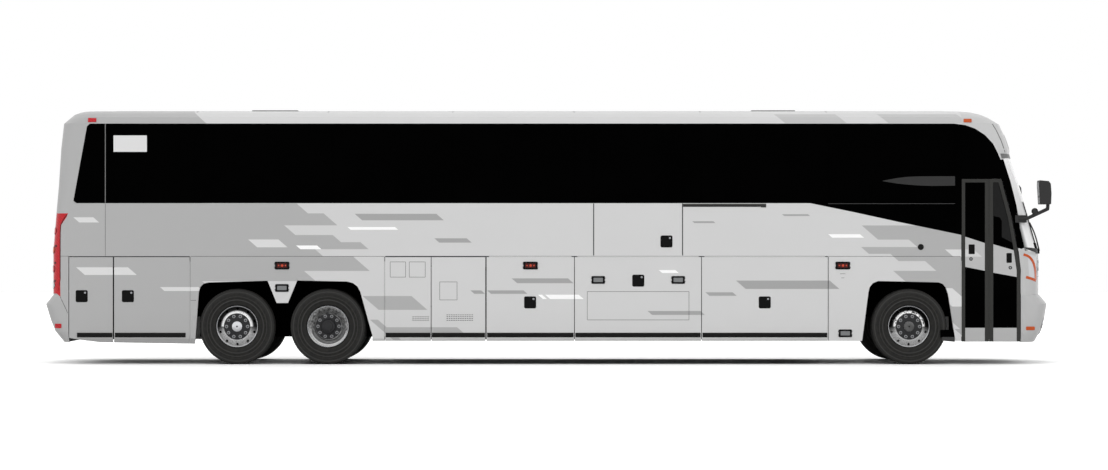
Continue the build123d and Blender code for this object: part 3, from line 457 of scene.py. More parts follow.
# ---- mesh kit ----
def to_mesh(bm, name, material, turn_out=True):
    """A bmesh as a mesh, with its faces turned outward."""
    if turn_out:
        bmesh.ops.recalc_face_normals(bm, faces=bm.faces)
    mesh = bpy.data.meshes.new(name)
    bm.to_mesh(mesh)
    bm.free()
    mesh.materials.append(material)
    return mesh


def smooth(mesh, sharp_from):
    """Smooth shading, apart from edges sharper than an angle in degrees."""
    mesh.shade_smooth()
    mesh.set_sharp_from_angle(angle=math.radians(sharp_from))
    return mesh


def finish_mesh(bm, name, material, body="root", slot="trim_black", bevel=0.0):
    """Turns a bmesh into a piece that rides on a body."""
    obj = add_object(name, smooth(to_mesh(bm, name, material), 35))
    if bevel:
        m = obj.modifiers.new("bevel", "BEVEL")
        m.width = bevel
        m.segments = 2
        m.limit_method = "ANGLE"
        m.angle_limit = math.radians(40)
        m.harden_normals = True
    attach(obj, body)


def loft(bm, rings, closed=False):
    """Faces between each ring of corners and the next."""
    for a, b in zip(rings, rings[1:] + rings[:1] * closed):
        for i in range(len(a)):
            j = (i + 1) % len(a)
            bm.faces.new((a[i], a[j], b[j], b[i]))


def add_prism(bm, points, y0, y1):
    """A polygon in x and z, drawn from y0 to y1."""
    near, far = ([bm.verts.new((x, y, z)) for x, z in points] for y in (y0, y1))
    bm.faces.new(near)
    bm.faces.new(far[::-1])
    loft(bm, [near, far])


def prisms(name, outlines, side, inner, outer, material, body="root", slot="trim_black", bevel=0.002):
    """Flat trim on one side: each outline stands from inner to outer metres off the side wall."""
    bm = bmesh.new()
    for points in outlines:
        add_prism(bm, points, SIGN[side] * (HALF + inner), SIGN[side] * (HALF + outer))
    finish_mesh(bm, name, material, body, slot, bevel)


def band(x0, x1, z0, z1):
    """A plain rectangle's outline."""
    return [(x0, z0), (x1, z0), (x1, z1), (x0, z1)]


def rounded(x0, x1, z0, z1, radius, steps=4):
    """A rectangle with rounded corners."""
    points = []
    for cx, cz, start in ((x1 - radius, z1 - radius, 0), (x0 + radius, z1 - radius, 90),
                          (x0 + radius, z0 + radius, 180), (x1 - radius, z0 + radius, 270)):
        for i in range(steps + 1):
            a = math.radians(start + 90 * i / steps)
            points.append((cx + radius * math.cos(a), cz + radius * math.sin(a)))
    return points


def plate(x, z, half_x, half_z, radius, steps=4):
    """A rounded rectangle about its middle."""
    return rounded(x - half_x, x + half_x, z - half_z, z + half_z, radius, steps)


def circle(x, z, radius, count=24):
    turns = [2 * math.pi * i / count for i in range(count)]
    return [(x + radius * math.cos(a), z + radius * math.sin(a)) for a in turns]


def mirrored(sign, points):
    return [(sign * y, z) for y, z in points]


def ribbon(centre, width):
    """The outline of a band of even width along a line."""
    left, right = [], []
    for i, p in enumerate(centre):
        t = (Vector(centre[min(i + 1, len(centre) - 1)]) - Vector(centre[max(i - 1, 0)])).normalized()
        n = Vector((-t.y, t.x)) * width / 2
        left.append((p[0] + n.x, p[1] + n.y))
        right.append((p[0] - n.x, p[1] - n.y))
    return left + right[::-1]


def curve_points(points, count=8):
    """A smooth line through some points."""
    out = []
    n = len(points)
    for i in range(n - 1):
        near = points[max(i - 1, 0)], points[i], points[i + 1], points[min(i + 2, n - 1)]
        for t in (k / count for k in range(count)):
            out.append(tuple(
                0.5 * (2 * b + (c - a) * t + (2 * a - 5 * b + 4 * c - d) * t * t + (3 * b - a - 3 * c + d) * t ** 3)
                for a, b, c, d in zip(*near)
            ))
    return out + [points[-1]]


SURFACES = {}


def surface(nodes):
    """A ray-casting tree over some CAD nodes."""
    if nodes not in SURFACES:
        verts, faces = [], []
        for n in nodes.split():
            mesh = NODES[n].data
            base = len(verts)
            verts += [v.co.copy() for v in mesh.vertices]
            faces += [[base + i for i in p.vertices] for p in mesh.polygons]
        SURFACES[nodes] = BVHTree.FromPolygons(verts, faces)
    return SURFACES[nodes]


FACING = {"kerb": (1, -1), "street": (1, 1), "front": (0, 1), "rear": (0, -1), "top": (2, 1)}  # axis, sign
CAST_FROM = 9.0  # metres out from the bus's middle
NEAR_FROM = (6.8, 1.3, 3.5)  # where a ray that misses looks for the nearest surface instead
SUNK = 0.0004  # how far a moulding's foot is let into its surface


def draped(name, outlines, nodes, facing, thickness, material, slot="trim_black", step=0.03, body="root"):
    """Thin mouldings cut to outlines, divided every step metres and laid on a CAD surface."""
    tree = surface(nodes)
    drop, sign = FACING[facing]
    keep = [i for i in range(3) if i != drop]
    direction = Vector([-sign * (i == drop) for i in range(3)])
    if not isinstance(outlines[0][0], (tuple, list)):
        outlines = [outlines]
    out = bmesh.new()
    for points in outlines:
        bm = bmesh.new()
        flat = []
        for pair in points:
            co = list(pair)
            co.insert(drop, 0.0)
            flat.append(bm.verts.new(co))
        bm.faces.new(flat)
        for index in keep:
            places = [v.co[index] for v in bm.verts]
            normal = [int(i == index) for i in range(3)]
            for i in range(1, int((max(places) - min(places)) / step) + 1):
                cut = [(min(places) + step * i) * n for n in normal]
                everything = bm.verts[:] + bm.edges[:] + bm.faces[:]
                bmesh.ops.bisect_plane(bm, geom=everything, plane_co=cut, plane_no=normal)
        bmesh.ops.triangulate(bm, faces=bm.faces)
        bm.verts.index_update()
        faces = [[v.index for v in f.verts] for f in bm.faces]
        borders = [[v.index for v in e.verts] for e in bm.edges if len(e.link_faces) == 1]
        tops, feet = [], []
        for v in bm.verts:
            origin = v.co.copy()
            origin[drop] = sign * CAST_FROM
            hit, normal, _, _ = tree.ray_cast(origin, direction)
            if hit is None:
                origin[drop] = sign * NEAR_FROM[drop]
                hit, normal = tree.find_nearest(origin)[:2]
            if normal.dot(direction) > 0:
                normal = -normal
            tops.append(out.verts.new(hit + normal * thickness))
            feet.append(out.verts.new(hit - normal * SUNK))
        bm.free()
        for f in faces:
            out.faces.new([tops[i] for i in f])
            out.faces.new([feet[i] for i in reversed(f)])
        for i, j in borders:
            out.faces.new((tops[i], tops[j], feet[j], feet[i]))
    finish_mesh(out, name, material, body, slot)


def tube(name, points, radius, material):
    """A round bar along a smooth line through some points."""
    data = bpy.data.curves.new(name, "CURVE")
    data.dimensions = "3D"
    data.bevel_depth = radius
    data.bevel_resolution = 5
    data.use_fill_caps = True
    spline = data.splines.new("BEZIER")
    spline.bezier_points.add(len(points) - 1)
    for bp, p in zip(spline.bezier_points, points):
        bp.co = p
        bp.handle_left_type = bp.handle_right_type = "AUTO"
    data.materials.append(material)
    obj = add_object(name, data)
    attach(obj, "root")


def ring(bm, centre, radius, offset, count):
    """Corners of a circle about a line along y."""
    cx, cy, cz = centre
    turns = [2 * math.pi * i / count for i in range(count)]
    return [bm.verts.new((cx + radius * math.sin(a), cy + offset, cz + radius * math.cos(a))) for a in turns]


def add_lathe(bm, profile, centre, outward, count=96):
    """Revolves (radius, outward offset) points about a line along y."""
    loft(bm, [ring(bm, centre, radius, outward * offset, count) for radius, offset in profile])


def turned(name, profile, centre, outward, material, body="root", slot="trim_black", count=96):
    bm = bmesh.new()
    add_lathe(bm, profile, centre, outward, count)
    finish_mesh(bm, name, material, body, slot)


def add_stack(bm, rows, centre, outward):
    """Rings stacked along y: rows of (radius, outward offset, corners)."""
    last = None
    for radius, offset, corners in rows:
        new = ring(bm, centre, radius, outward * offset, corners)
        if last and len(last) == corners:
            loft(bm, [last, new])
        elif last:
            bm.faces.new(last)
        last = new
    bm.faces.new(last)


# ---- wheels ----
TYRE_MID_Y = 1.116
DUAL_PITCH = 0.345
# Sidewall from bead to shoulder: radius, offset from the tyre's middle
SIDEWALL = (
    (0.2850, 0.104), (0.2920, 0.112), (0.3000, 0.1200), (0.3060, 0.1290), (0.3090, 0.1300),
    (0.3110, 0.1330), (0.3140, 0.1330), (0.3160, 0.1345), (0.3400, 0.1440), (0.3560, 0.1490),
    (0.3575, 0.1508), (0.3600, 0.1508), (0.3615, 0.1500), (0.3900, 0.1545), (0.4150, 0.1553),
    (0.4165, 0.1559), (0.4200, 0.1559), (0.4215, 0.1550), (0.4400, 0.1540), (0.4415, 0.1548),
    (0.4440, 0.1546), (0.4455, 0.1530), (0.4700, 0.1490), (0.4760, 0.1478), (0.4800, 0.1490),
    (0.4840, 0.1480),
)
# Shoulder: the same, and the share of a lug's depth that every other corner is cut in
SHOULDER = ((0.4960, 0.1455, 1.0), (0.5040, 0.1380, 1.0), (0.5120, 0.1240, 1.0), (0.5145, 0.1120, 1.0),
            (0.5150, 0.1020, 0.25))
LUG_DEPTH = 0.011
LUGS = 72
GROOVES = (0.062, 0.022, -0.022, -0.062)  # middles of the tread's grooves
GROOVE_HALF = 0.005
GROOVE_R = TYRE_R - 0.013


def tyre_mesh():
    """One tyre about the origin: ringed sidewalls, shoulder lugs, four tread grooves."""
    bm = bmesh.new()
    half = [(r, y, 0.0) for r, y in SIDEWALL] + list(SHOULDER)
    profile = list(half)
    for middle in GROOVES:
        high, low = middle + GROOVE_HALF, middle - GROOVE_HALF
        profile += [(TYRE_R, high + 0.0005, 0.0), (GROOVE_R, high - 0.001, 0.0), (GROOVE_R, low + 0.001, 0.0),
                    (TYRE_R, low - 0.0005, 0.0)]
    profile += [(r, -y, lug) for r, y, lug in reversed(half)]
    rings = []
    for r, y, lug in profile:
        corners = []
        for i in range(LUGS * 2):
            a = math.pi * i / LUGS
            cut = r - LUG_DEPTH * lug * (i % 2)
            corners.append(bm.verts.new((cut * math.sin(a), y, cut * math.cos(a))))
        rings.append(corners)
    loft(bm, rings, True)
    return smooth(to_mesh(bm, "tyre", TYRE), 50)


TYRE_MESH = tyre_mesh()
HUB_DARK = moulded("hub_dark", (40, 40, 42), (0.4, 0.55), 0.003, 0.2, 0.3, metallic=0.4)
HUB_MOTTLED = moulded("hub_mottled", 120, (0.3, 0.5), 0.004, 0.3, 0.85, metallic=0.4)
# Turned parts of a wheel: radius, offset from the tyre's middle
RIM_LIP = ((0.2720, 0.085), (0.2722, 0.104), (0.2735, 0.1105), (0.2765, 0.1135), (0.2800, 0.1140),
           (0.2832, 0.1120), (0.2845, 0.1070), (0.2850, 0.1040))
DRIVE_HUB = ((0.176, 0.0080), (0.100, 0.0120), (0.097, 0.0400), (0.090, 0.0600), (0.064, 0.0680),
             (0.060, 0.0800), (0.030, 0.0860), (0.001, 0.0870))
HUB_FACE = ((0.181, 0.1312), (0.1805, 0.1335), (0.176, 0.1345), (0.072, 0.1345), (0.070, 0.1320))
HUB_CAP = ((0.0685, 0.1300), (0.0685, 0.1500), (0.0640, 0.1530), (0.0300, 0.1545), (0.0120, 0.1545),
           (0.0100, 0.1520), (0.001, 0.1520))
HUB_PLUG = ((0.0095, 0.1505, 16), (0.0095, 0.1548, 16), (0.0070, 0.1556, 16))
# A wheel nut: bright flanged washer, then the hexagon and the domed stud end
NUT_PARTS = (
    ("washers", ((0.0220, 0.0000, 20), (0.0220, 0.0050, 20), (0.0205, 0.0065, 20), (0.0150, 0.0065, 20)),
     moulded("nut_metal", (186, 187, 189), (0.3, 0.4), 0.002, 0.05, metallic=0.8)),
    ("nuts", ((0.0160, 0.0040, 6), (0.0160, 0.0190, 6), (0.0135, 0.0220, 6), (0.0080, 0.0220, 12),
              (0.0080, 0.0280, 12), (0.0040, 0.0310, 12)),
     moulded("nut_dark", (96, 96, 98), (0.35, 0.5), 0.002, 0.05, metallic=0.8)),
)
NUTS = 10
NUT_CIRCLE_R = 0.144
for axle, wheel_x in WHEEL_X.items():
    deep = axle == "drive"
    for side, sign in SIGN.items():
        tag = f"_{axle}_{side}"
        wheel = ("wheel" + tag, "wheel")  # body, slot
        for i in range(2 if deep else 1):
            place = (wheel_x, sign * (TYRE_MID_Y - i * DUAL_PITCH), AXLE_Z)
            tyre = add_object(f"tyre{tag}_{i}", TYRE_MESH, place)
            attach(tyre, "wheel" + tag)
            if i == 0:
                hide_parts("tyre" + tag)
        centre = (wheel_x, sign * TYRE_MID_Y, AXLE_Z)
        turned("rim_lip" + tag, RIM_LIP, centre, sign, CAP_METAL, *wheel)
        turned("hub_face" + tag, DRIVE_HUB if deep else HUB_FACE, centre, sign, HUB_DARK, *wheel)
        if not deep:
            turned("hub_cap" + tag, HUB_CAP, centre, sign, CAP_METAL if axle == "tag" else HUB_MOTTLED, *wheel, 64)
            bm = bmesh.new()
            add_stack(bm, HUB_PLUG, centre, sign)
            finish_mesh(bm, "hub_plug" + tag, BLACK_TRIM, *wheel)
        nut_y = sign * (TYRE_MID_Y + (0.0090 if deep else 0.1340))
        for part, rows, metal in NUT_PARTS:
            bm = bmesh.new()
            for i in range(NUTS):
                a = 2 * math.pi * (i + 0.5) / NUTS
                place = (wheel_x + NUT_CIRCLE_R * math.sin(a), nut_y, AXLE_Z + NUT_CIRCLE_R * math.cos(a))
                add_stack(bm, rows, place, sign)
            finish_mesh(bm, part + tag, metal, *wheel)


# ---- side trim ----
def part_body(part, side):
    """The body of a part of the side wall. Behind the bays the street side has doors of its own."""
    if side == "street" and part.startswith(("service", "climate")):
        return {"s": "radiator_door_street", "c": "condenser_door_street"}[part[0]]
    return part if part == "root" else f"{part}_{side}"


def add_shell(bm, levels, side):
    """Outlines joined one to the next and closed at the last: (points, metres off the side wall)."""
    rings = [[bm.verts.new((x, SIGN[side] * (HALF + off), z)) for x, z in points] for points, off in levels]
    loft(bm, rings)
    bm.faces.new(rings[-1])
    return rings


def latch(name, x, z, side, body):
    """A recessed paddle latch: rounded frame, dark dish, paddle and lock."""
    sign = SIGN[side]
    y = sign * HALF
    bm = bmesh.new()
    outer, inner = plate(x, z, 0.082, 0.082, 0.022, 5), plate(x, z, 0.070, 0.070, 0.014, 5)
    add_shell(bm, ((outer, 0.0), (outer, 0.003), (inner, 0.004), (inner, 0.0012)), side)
    add_prism(bm, rounded(x - 0.058, x + 0.058, z - 0.060, z + 0.012, 0.010), y + sign * 0.0010, y + sign * 0.0050)
    finish_mesh(bm, name, BLACK_GLOSS, body, bevel=0.001)
    lock = ((0.014, 0.001), (0.014, 0.0045), (0.011, 0.0058), (0.004, 0.0058), (0.003, 0.0045), (0.0004, 0.0045))
    turned(name + "_lock", lock, (x + 0.046, y, z + 0.046), sign, STEEL, body, count=24)


# Name, x, z, part of the wall, sides
LATCHES = (
    ("service_rear", -6.394, 0.930, "service_rear", 2), ("service_front", -5.763, 0.930, "service_front", 1),
    ("bay_rear", -0.273, 0.845, "bay_rear", 2), ("bay_middle", 1.203, 1.142, "bay_middle", 2),
    ("bay_front", 2.929, 0.845, "bay_front", 2), ("lift", 1.588, 1.677, "root", 1),
)
for name, x, z, part, sides in LATCHES:
    for side in ("kerb", "street")[:sides]:
        latch(f"latch_{name}_{side}", x, z, side, part_body(part, side))


def lamp_unit(name, x, z, side, body, glass, hx, hz, bulbs):
    """A side marker: a thick bezel with notched ends round a lens, and the lit bulbs in it."""
    sign = SIGN[side]
    y = sign * HALF
    notch = 0.007
    bm = bmesh.new()
    outer = [(px - math.copysign(notch, px - x) * (abs(pz - z) < hz - 0.021), pz)
             for px, pz in plate(x, z, hx, hz, 0.022, 5)]
    mid = plate(x, z, hx - 0.010, hz - 0.008, 0.016, 5)
    inner = plate(x, z, hx - 0.031, hz - 0.023, 0.008, 5)
    rings = add_shell(bm, ((outer, 0.0), (outer, 0.006), (mid, 0.012), (inner, 0.012), (inner, 0.006)), side)
    bm.faces.new(rings[0][::-1])
    for end in (-1, 1):
        for tip in (-1, 1):
            knob = plate(x + end * (hx - 0.004), z + tip * 0.022, 0.006, 0.005, 0.003)
            add_prism(bm, knob, y, y + sign * 0.006)
    finish_mesh(bm, name + "_bezel", BLACK_GLOSS, body, bevel=0.001)
    prisms(name + "_lens", [plate(x, z, hx - 0.0315, hz - 0.0235, 0.007)], side, 0.0062, 0.0105, glass, body,
           "lamp_red", 0.0015)
    if bulbs:
        bm = bmesh.new()
        for dx, radius in bulbs:
            dome = ((radius, 0.0106), (radius * 0.8, 0.0122), (radius * 0.4, 0.0130), (0.0003, 0.0132))
            add_lathe(bm, dome, (x + dx, y, z), sign, 20)
        finish_mesh(bm, name + "_bulbs", LIT_BULB, body, "lamp_red")


# Kinds: lens, half length, half height, bulbs as (place along, radius)
MARKER = (MARKER_RED, 0.104, 0.053, ((-0.046, 0.009), (0.002, 0.017), (0.048, 0.010)))
COURTESY = (GREY_LENS, 0.096, 0.053, ())
for name, x, z, part, kind in (
    ("marker_rear", -3.660, 1.348, "root", MARKER), ("marker_middle", -0.269, 1.348, "bay_rear", MARKER),
    ("marker_front", 3.995, 1.348, "root", MARKER), ("courtesy_flap", -3.661, 1.042, "root", COURTESY),
    ("courtesy_bay_a", 0.656, 1.152, "bay_middle", COURTESY), ("courtesy_bay_b", 1.748, 1.152, "bay_middle", COURTESY),
    ("courtesy_front", 4.028, 0.423, "root", COURTESY),
):
    for side in SIGN:
        lamp_unit(f"{name}_{side}", x, z, side, part_body(part, side), *kind)

# Rub rails: rear end, front end, part of the wall; and their section as (z, metres off the wall)
RUB_RAILS = (
    (-6.458, -5.975, "service_rear"), (-5.940, -4.975, "service_front"), (-2.246, -1.634, "climate_rear"),
    (-1.614, -0.890, "climate_front"), (-0.860, 0.320, "bay_rear"), (0.344, 2.054, "bay_middle"),
    (2.080, 3.782, "bay_front"),
)
RAIL_SECTION = ((0.3680, 0.0), (0.3700, 0.010), (0.3800, 0.016), (0.3960, 0.016), (0.3985, 0.012),
                (0.4010, 0.012), (0.4035, 0.016), (0.4195, 0.016), (0.4290, 0.010), (0.4310, 0.0))
RAIL_END = 0.008  # the length over which an end is flattened
for i, (x0, x1, part) in enumerate(RUB_RAILS):
    for side, sign in SIGN.items():
        bm = bmesh.new()
        ends = [[bm.verts.new((x, sign * (HALF + off * flat), z)) for z, off in RAIL_SECTION]
                for x, flat in ((x0, 0.3), (x0 + RAIL_END, 1.0), (x1 - RAIL_END, 1.0), (x1, 0.3))]
        loft(bm, ends)
        bm.faces.new(ends[0])
        bm.faces.new(ends[-1])
        finish_mesh(bm, f"rub_rail_{i}_{side}", BLACK_TRIM, part_body(part, side))


def seam_lines(name, lines, side, body="root", width=0.005, material=SEAM, depth=0.0006):
    """Narrow sealed joints, each from one point to another."""
    outlines = [ribbon(line, width) for line in lines]
    prisms(name, outlines, side, -SUNK, depth, material, body, "door_frame", 0.0)


def box_lines(*box):
    corners = band(*box)
    return list(zip(corners, corners[1:] + corners[:1]))


# Louvres: end of the piece's name, rear end, front end, rows
LOUVRES = (("rear", -1.886, -1.650, (0.600, 0.625, 0.650)), ("front", -1.419, -1.049, (0.600, 0.625, 0.650, 0.675)))
HATCH_LINES = {"rear": box_lines(-2.183, -1.973, 1.190, 1.398) + box_lines(-1.9225, -1.705, 1.190, 1.398),
               "front": box_lines(-1.507, -1.271, 0.879, 1.1245)}
PANE_TOP = 3.284
# Joints between panes: x, and the lower edge of the glass there
PANE_JOINTS = (
    (-4.853, 2.201), (-4.602, 2.201), (-2.970, 2.201), (-1.337, 2.201), (0.330, 2.201), (0.594, 2.201),
    (1.807, 2.201), (2.063, 2.201), (3.798, 2.148), (5.526, 1.786),
)
BODY_SEAMS = (
    ((-6.560, 1.473), (-4.925, 1.473)), ((-4.905, 1.473), (-2.268, 1.473)), ((3.800, 1.473), (5.600, 1.473)),
    ((-6.072, 1.478), (-6.072, 2.196)), ((-4.905, 0.873), (-4.832, 0.873)), ((-4.912, 0.873), (-4.912, 1.470)),
    ((-2.250, 1.476), (3.790, 1.476)), ((3.800, 0.325), (3.800, 1.470)), ((-2.262, 0.325), (-2.262, 1.470)),
    ((3.960, 1.236), (4.030, 1.236)), ((3.975, 1.180), (4.015, 1.180)),
)
# Painted reflection: an almond-shaped lighter patch laid on the glass behind the entrance
ALMOND_REFLECTION = [curve_points([(4.540, 2.506), (4.760, 2.545), (5.000, 2.564), (5.526, 2.567)])
          + curve_points([(5.526, 2.438), (5.150, 2.436), (4.800, 2.460), (4.540, 2.500)])]
ALMOND_REFLECTION_GREY = moulded("almond_painted_reflection", 48, (0.35, 0.5), specular=0.2)
LINE_GREY = moulded("glass_line_grey", 60)
for side in SIGN:
    for end, x0, x1, rows in LOUVRES:
        body = part_body("climate_" + end, side)
        seam_lines(f"hatch_outline_{end}_{side}", HATCH_LINES[end], side, body)
        count = int((x1 - x0) / 0.030)
        slots = [plate(x0 + (k + 0.5) * (x1 - x0) / count, z, 0.011, 0.004, 0.0035, 3)
                 for z in rows for k in range(count)]
        prisms(f"louvres_{end}_{side}", slots, side, -SUNK, 0.0012, SEAM, body, "door_frame", 0.0)
    seam_lines(f"panel_outline_{side}", box_lines(0.507, 1.895, 0.606, 0.993), side, "bay_middle_" + side)
    seam_lines(f"body_seams_{side}", BODY_SEAMS, side)
    seam_lines(f"pane_joints_{side}", [((x, low), (x, PANE_TOP)) for x, low in PANE_JOINTS], side, "root", 0.012,
               JOINT_BLACK, 0.0008)
    seam_lines(f"pillar_joint_{side}", [((-6.072, 2.203), (-6.072, PANE_TOP))], side, "root", 0.010, SEAM_LIGHT)
    seam_lines(f"glass_line_{side}", [((3.795, 2.1925), (5.527, 2.1925))], side, "root", 0.006, LINE_GREY, 0.001)
    # painted reflection on the glass behind the entrance
    prisms(f"almond_painted_reflection_{side}", ALMOND_REFLECTION, side, -0.0003, 0.004, ALMOND_REFLECTION_GREY, bevel=0.001)
    prisms(f"blank_plate_{side}", [rounded(-5.960, -5.504, 2.900, 3.124, 0.004)], side, 0.0, 0.0008, PLATE,
           "root", "body_paint", 0.0003)
    # rubber skirt that closes the rear arch's inner wall, as low as the wheels' middle
    bm = bmesh.new()
    add_prism(bm, band(-4.848, -2.436, 0.362, 0.640), SIGN[side] * 0.576, SIGN[side] * 0.584)
    finish_mesh(bm, f"arch_skirt_{side}", UNDERBODY, "root", "frame", 0.002)

# ---- kerb side only: lift door, filler, entrance ----
seam_lines("lift_door_joint", [((x, 1.486), (x, 2.196)) for x in (0.594, 1.807)], "kerb", "root", 0.014, SEAM, 0.0008)
prisms("lift_guide_rail", [[(1.815, 2.158), (2.865, 2.158), (2.878, 2.142), (2.948, 2.142), (2.948, 2.190),
                            (1.815, 2.190)]], "kerb", 0.0, 0.008, DOOR_STRIP)
prisms("lift_guide_slot", [band(1.815, 2.865, 2.150, 2.158)], "kerb", 0.0, 0.004, BLACK_TRIM, bevel=0.0008)
FILLER = ((0.041, 0.0), (0.041, 0.004), (0.037, 0.006), (0.032, 0.003), (0.008, 0.003), (0.006, 0.005),
          (0.0005, 0.005))
turned("filler_cap", FILLER, (5.059, -HALF, 1.601), -1, BLACK_TRIM, count=48)
prisms("step_flap", [[(5.352, 0.322), (5.352, 0.372), (5.523, 0.372), (5.523, 0.306)]], "kerb", -0.045, -0.003, COWL)
prisms("step_flap_hanger", [[(5.330, 0.372), (5.330, 0.470), (5.523, 0.470), (5.523, 0.372)]], "kerb", -0.047,
       -0.006, UNDERBODY)
# its grey is the front's painted shade
prisms("nose_closing_piece", [[(6.3930, 1.5650), (6.4300, 1.5650), (6.4300, 1.2980), (6.4240, 1.2980)]], "kerb",
       -0.005, 0.0005, painted("nose_closing_painted_shade", 189), "root", "body_paint", 0.0)

STRIP_TOP = 2.529
BAR_FOOT = 2.482
LEAF_FOOT = 0.312
KICK_TOP = 0.498
LEAF_EDGE = ((6.1565, STRIP_TOP), (6.2935, 2.020), (6.3765, 1.567), (6.4190, 1.290), (6.4190, LEAF_FOOT))
LEAF_EDGE_IN = ((6.118, BAR_FOOT), (6.243, 2.020), (6.326, 1.567), (6.369, 1.284), (6.369, LEAF_FOOT))
BAND_PAINT, SLASH_PAINT, KICK_PAINT = painted("leaf_paint", 184), painted("leaf_slash", 206), painted("kick_paint", 178)
SHEEN = moulded("leaf_sheen", 34, (0.08, 0.16), 0.05, 0.01, 0.2, specular=0.05)
# Facings of the leaves: name, outline, metres off the wall, material, slot, bevel
for name, points, outer, material, slot, bevel in (
    # dark strips: the outer frame round both leaves and the pair down the middle
    ("strips_rear", [(5.6185, LEAF_FOOT), (5.664, LEAF_FOOT), (5.664, BAR_FOOT), (5.934, BAR_FOOT),
                     (5.934, LEAF_FOOT), (5.9893, LEAF_FOOT), (5.9893, STRIP_TOP), (5.6185, STRIP_TOP)],
     0.006, DOOR_STRIP, "door_frame", 0.002),
    ("strips_front", [(5.9907, LEAF_FOOT), (6.048, LEAF_FOOT), (6.048, BAR_FOOT), *LEAF_EDGE_IN,
                      *reversed(LEAF_EDGE), (5.9907, STRIP_TOP)], 0.006, DOOR_STRIP, "door_frame", 0.002),
    ("band_rear", [(5.665, 1.742), (5.933, 1.655), (5.933, 1.276), (5.665, 1.330)], 0.003, BAND_PAINT, "body_paint",
     0.0015),
    ("band_front", [(6.049, 1.638), (6.318, 1.560), (6.3265, 1.562), (6.368, 1.284), (6.368, 1.192), (6.049, 1.250)],
     0.003, BAND_PAINT, "body_paint", 0.0015),
    ("slash_rear", [(5.665, 1.568), (5.780, 1.568), (5.894, 1.469), (5.665, 1.469)], 0.0034, SLASH_PAINT,
     "body_paint", 0.0),
    ("kick_rear", band(5.665, 5.933, LEAF_FOOT, KICK_TOP), 0.003, KICK_PAINT, "body_paint", 0.0015),
    ("kick_front", band(6.049, 6.368, LEAF_FOOT, KICK_TOP), 0.003, KICK_PAINT, "body_paint", 0.0015),
    ("window_front", [(6.052, 2.478), (6.114, 2.478), (6.238, 2.020), (6.310, 1.660), (6.165, 1.735),
                      (6.165, 1.955), (6.140, 2.004), (6.052, 2.024)], 0.0012, SHEEN, "glass", 0.0),
):
    body = "entrance_leaf_" + name.split("_")[1]
    prisms("leaf_" + name, [points], "kerb", -0.0005, outer, material, body, slot, bevel)
LOCK = ((0.024, 0.0030), (0.024, 0.0050), (0.021, 0.0060), (0.012, 0.0060), (0.011, 0.0040))
BARREL = ((0.0108, 0.0030), (0.0108, 0.0052), (0.0090, 0.0058), (0.0003, 0.0058))
for end, x0, x1, z0, z1, lock_x, lock_z in (("rear", 5.711, 5.7955, 1.504, 1.637, 5.744, 1.438),
                                            ("front", 6.228, 6.302, 1.385, 1.519, 6.281, 1.319)):
    body = "entrance_leaf_" + end
    bm = bmesh.new()
    add_prism(bm, rounded(x0, x1, z0, z1, 0.010), -HALF + 0.0005, -HALF - 0.0045)
    add_prism(bm, rounded(x0 + 0.012, x1 - 0.012, z0 + 0.020, z1 - 0.012, 0.008), -HALF - 0.0040, -HALF - 0.0100)
    finish_mesh(bm, "leaf_handle_" + end, BLACK_GLOSS, body, bevel=0.0015)
    centre = (lock_x, -HALF, lock_z)
    turned("leaf_lock_" + end, LOCK, centre, -1, DOOR_STRIP, body, "door_frame", 32)
    turned("leaf_barrel_" + end, BARREL, centre, -1, STEEL, body, "door_frame", 24)

# ---- front, rear and roof ----
LAMP_NODES = "headlamps nose_panel"
FRONT_SHELL = "front_cap windshield side_glass nose_panel"
CORNER_Y = 1.16  # where a moulding round the front changes from the side's piece to the front's


def front_point(y, z, out):
    """A point that stands out metres off the front of the shell."""
    hit, normal, _, _ = surface(FRONT_SHELL).ray_cast(Vector((CAST_FROM, y, z)), Vector((-1, 0, 0)))
    return hit + (normal if normal.x > 0 else -normal) * out


ARC = curve_points([(6.462, 1.500), (6.540, 1.468), (6.602, 1.396), (6.636, 1.290), (6.650, 1.150)])
TAIL_EDGE = ((-6.592, 2.045), (-6.640, 1.985), (-6.684, 1.895), (-6.690, 1.800), (-6.690, 1.160), (-6.712, 1.010))
STUDS = [circle(x, z, 0.017, 16) for x, z in ((-6.756, 1.615), (-6.768, 1.383), (-6.772, 1.137))]
CORNER_R = 0.0500  # the rearmost window's lower corner: the wall's paint round it
CORNER = [(-6.5165, 2.1965), (-6.4600, 2.1965)]
CORNER += [(-6.4600 - CORNER_R * math.sin(a), 2.2490 - CORNER_R * math.cos(a))
           for a in (math.radians(12 * i) for i in range(8))]
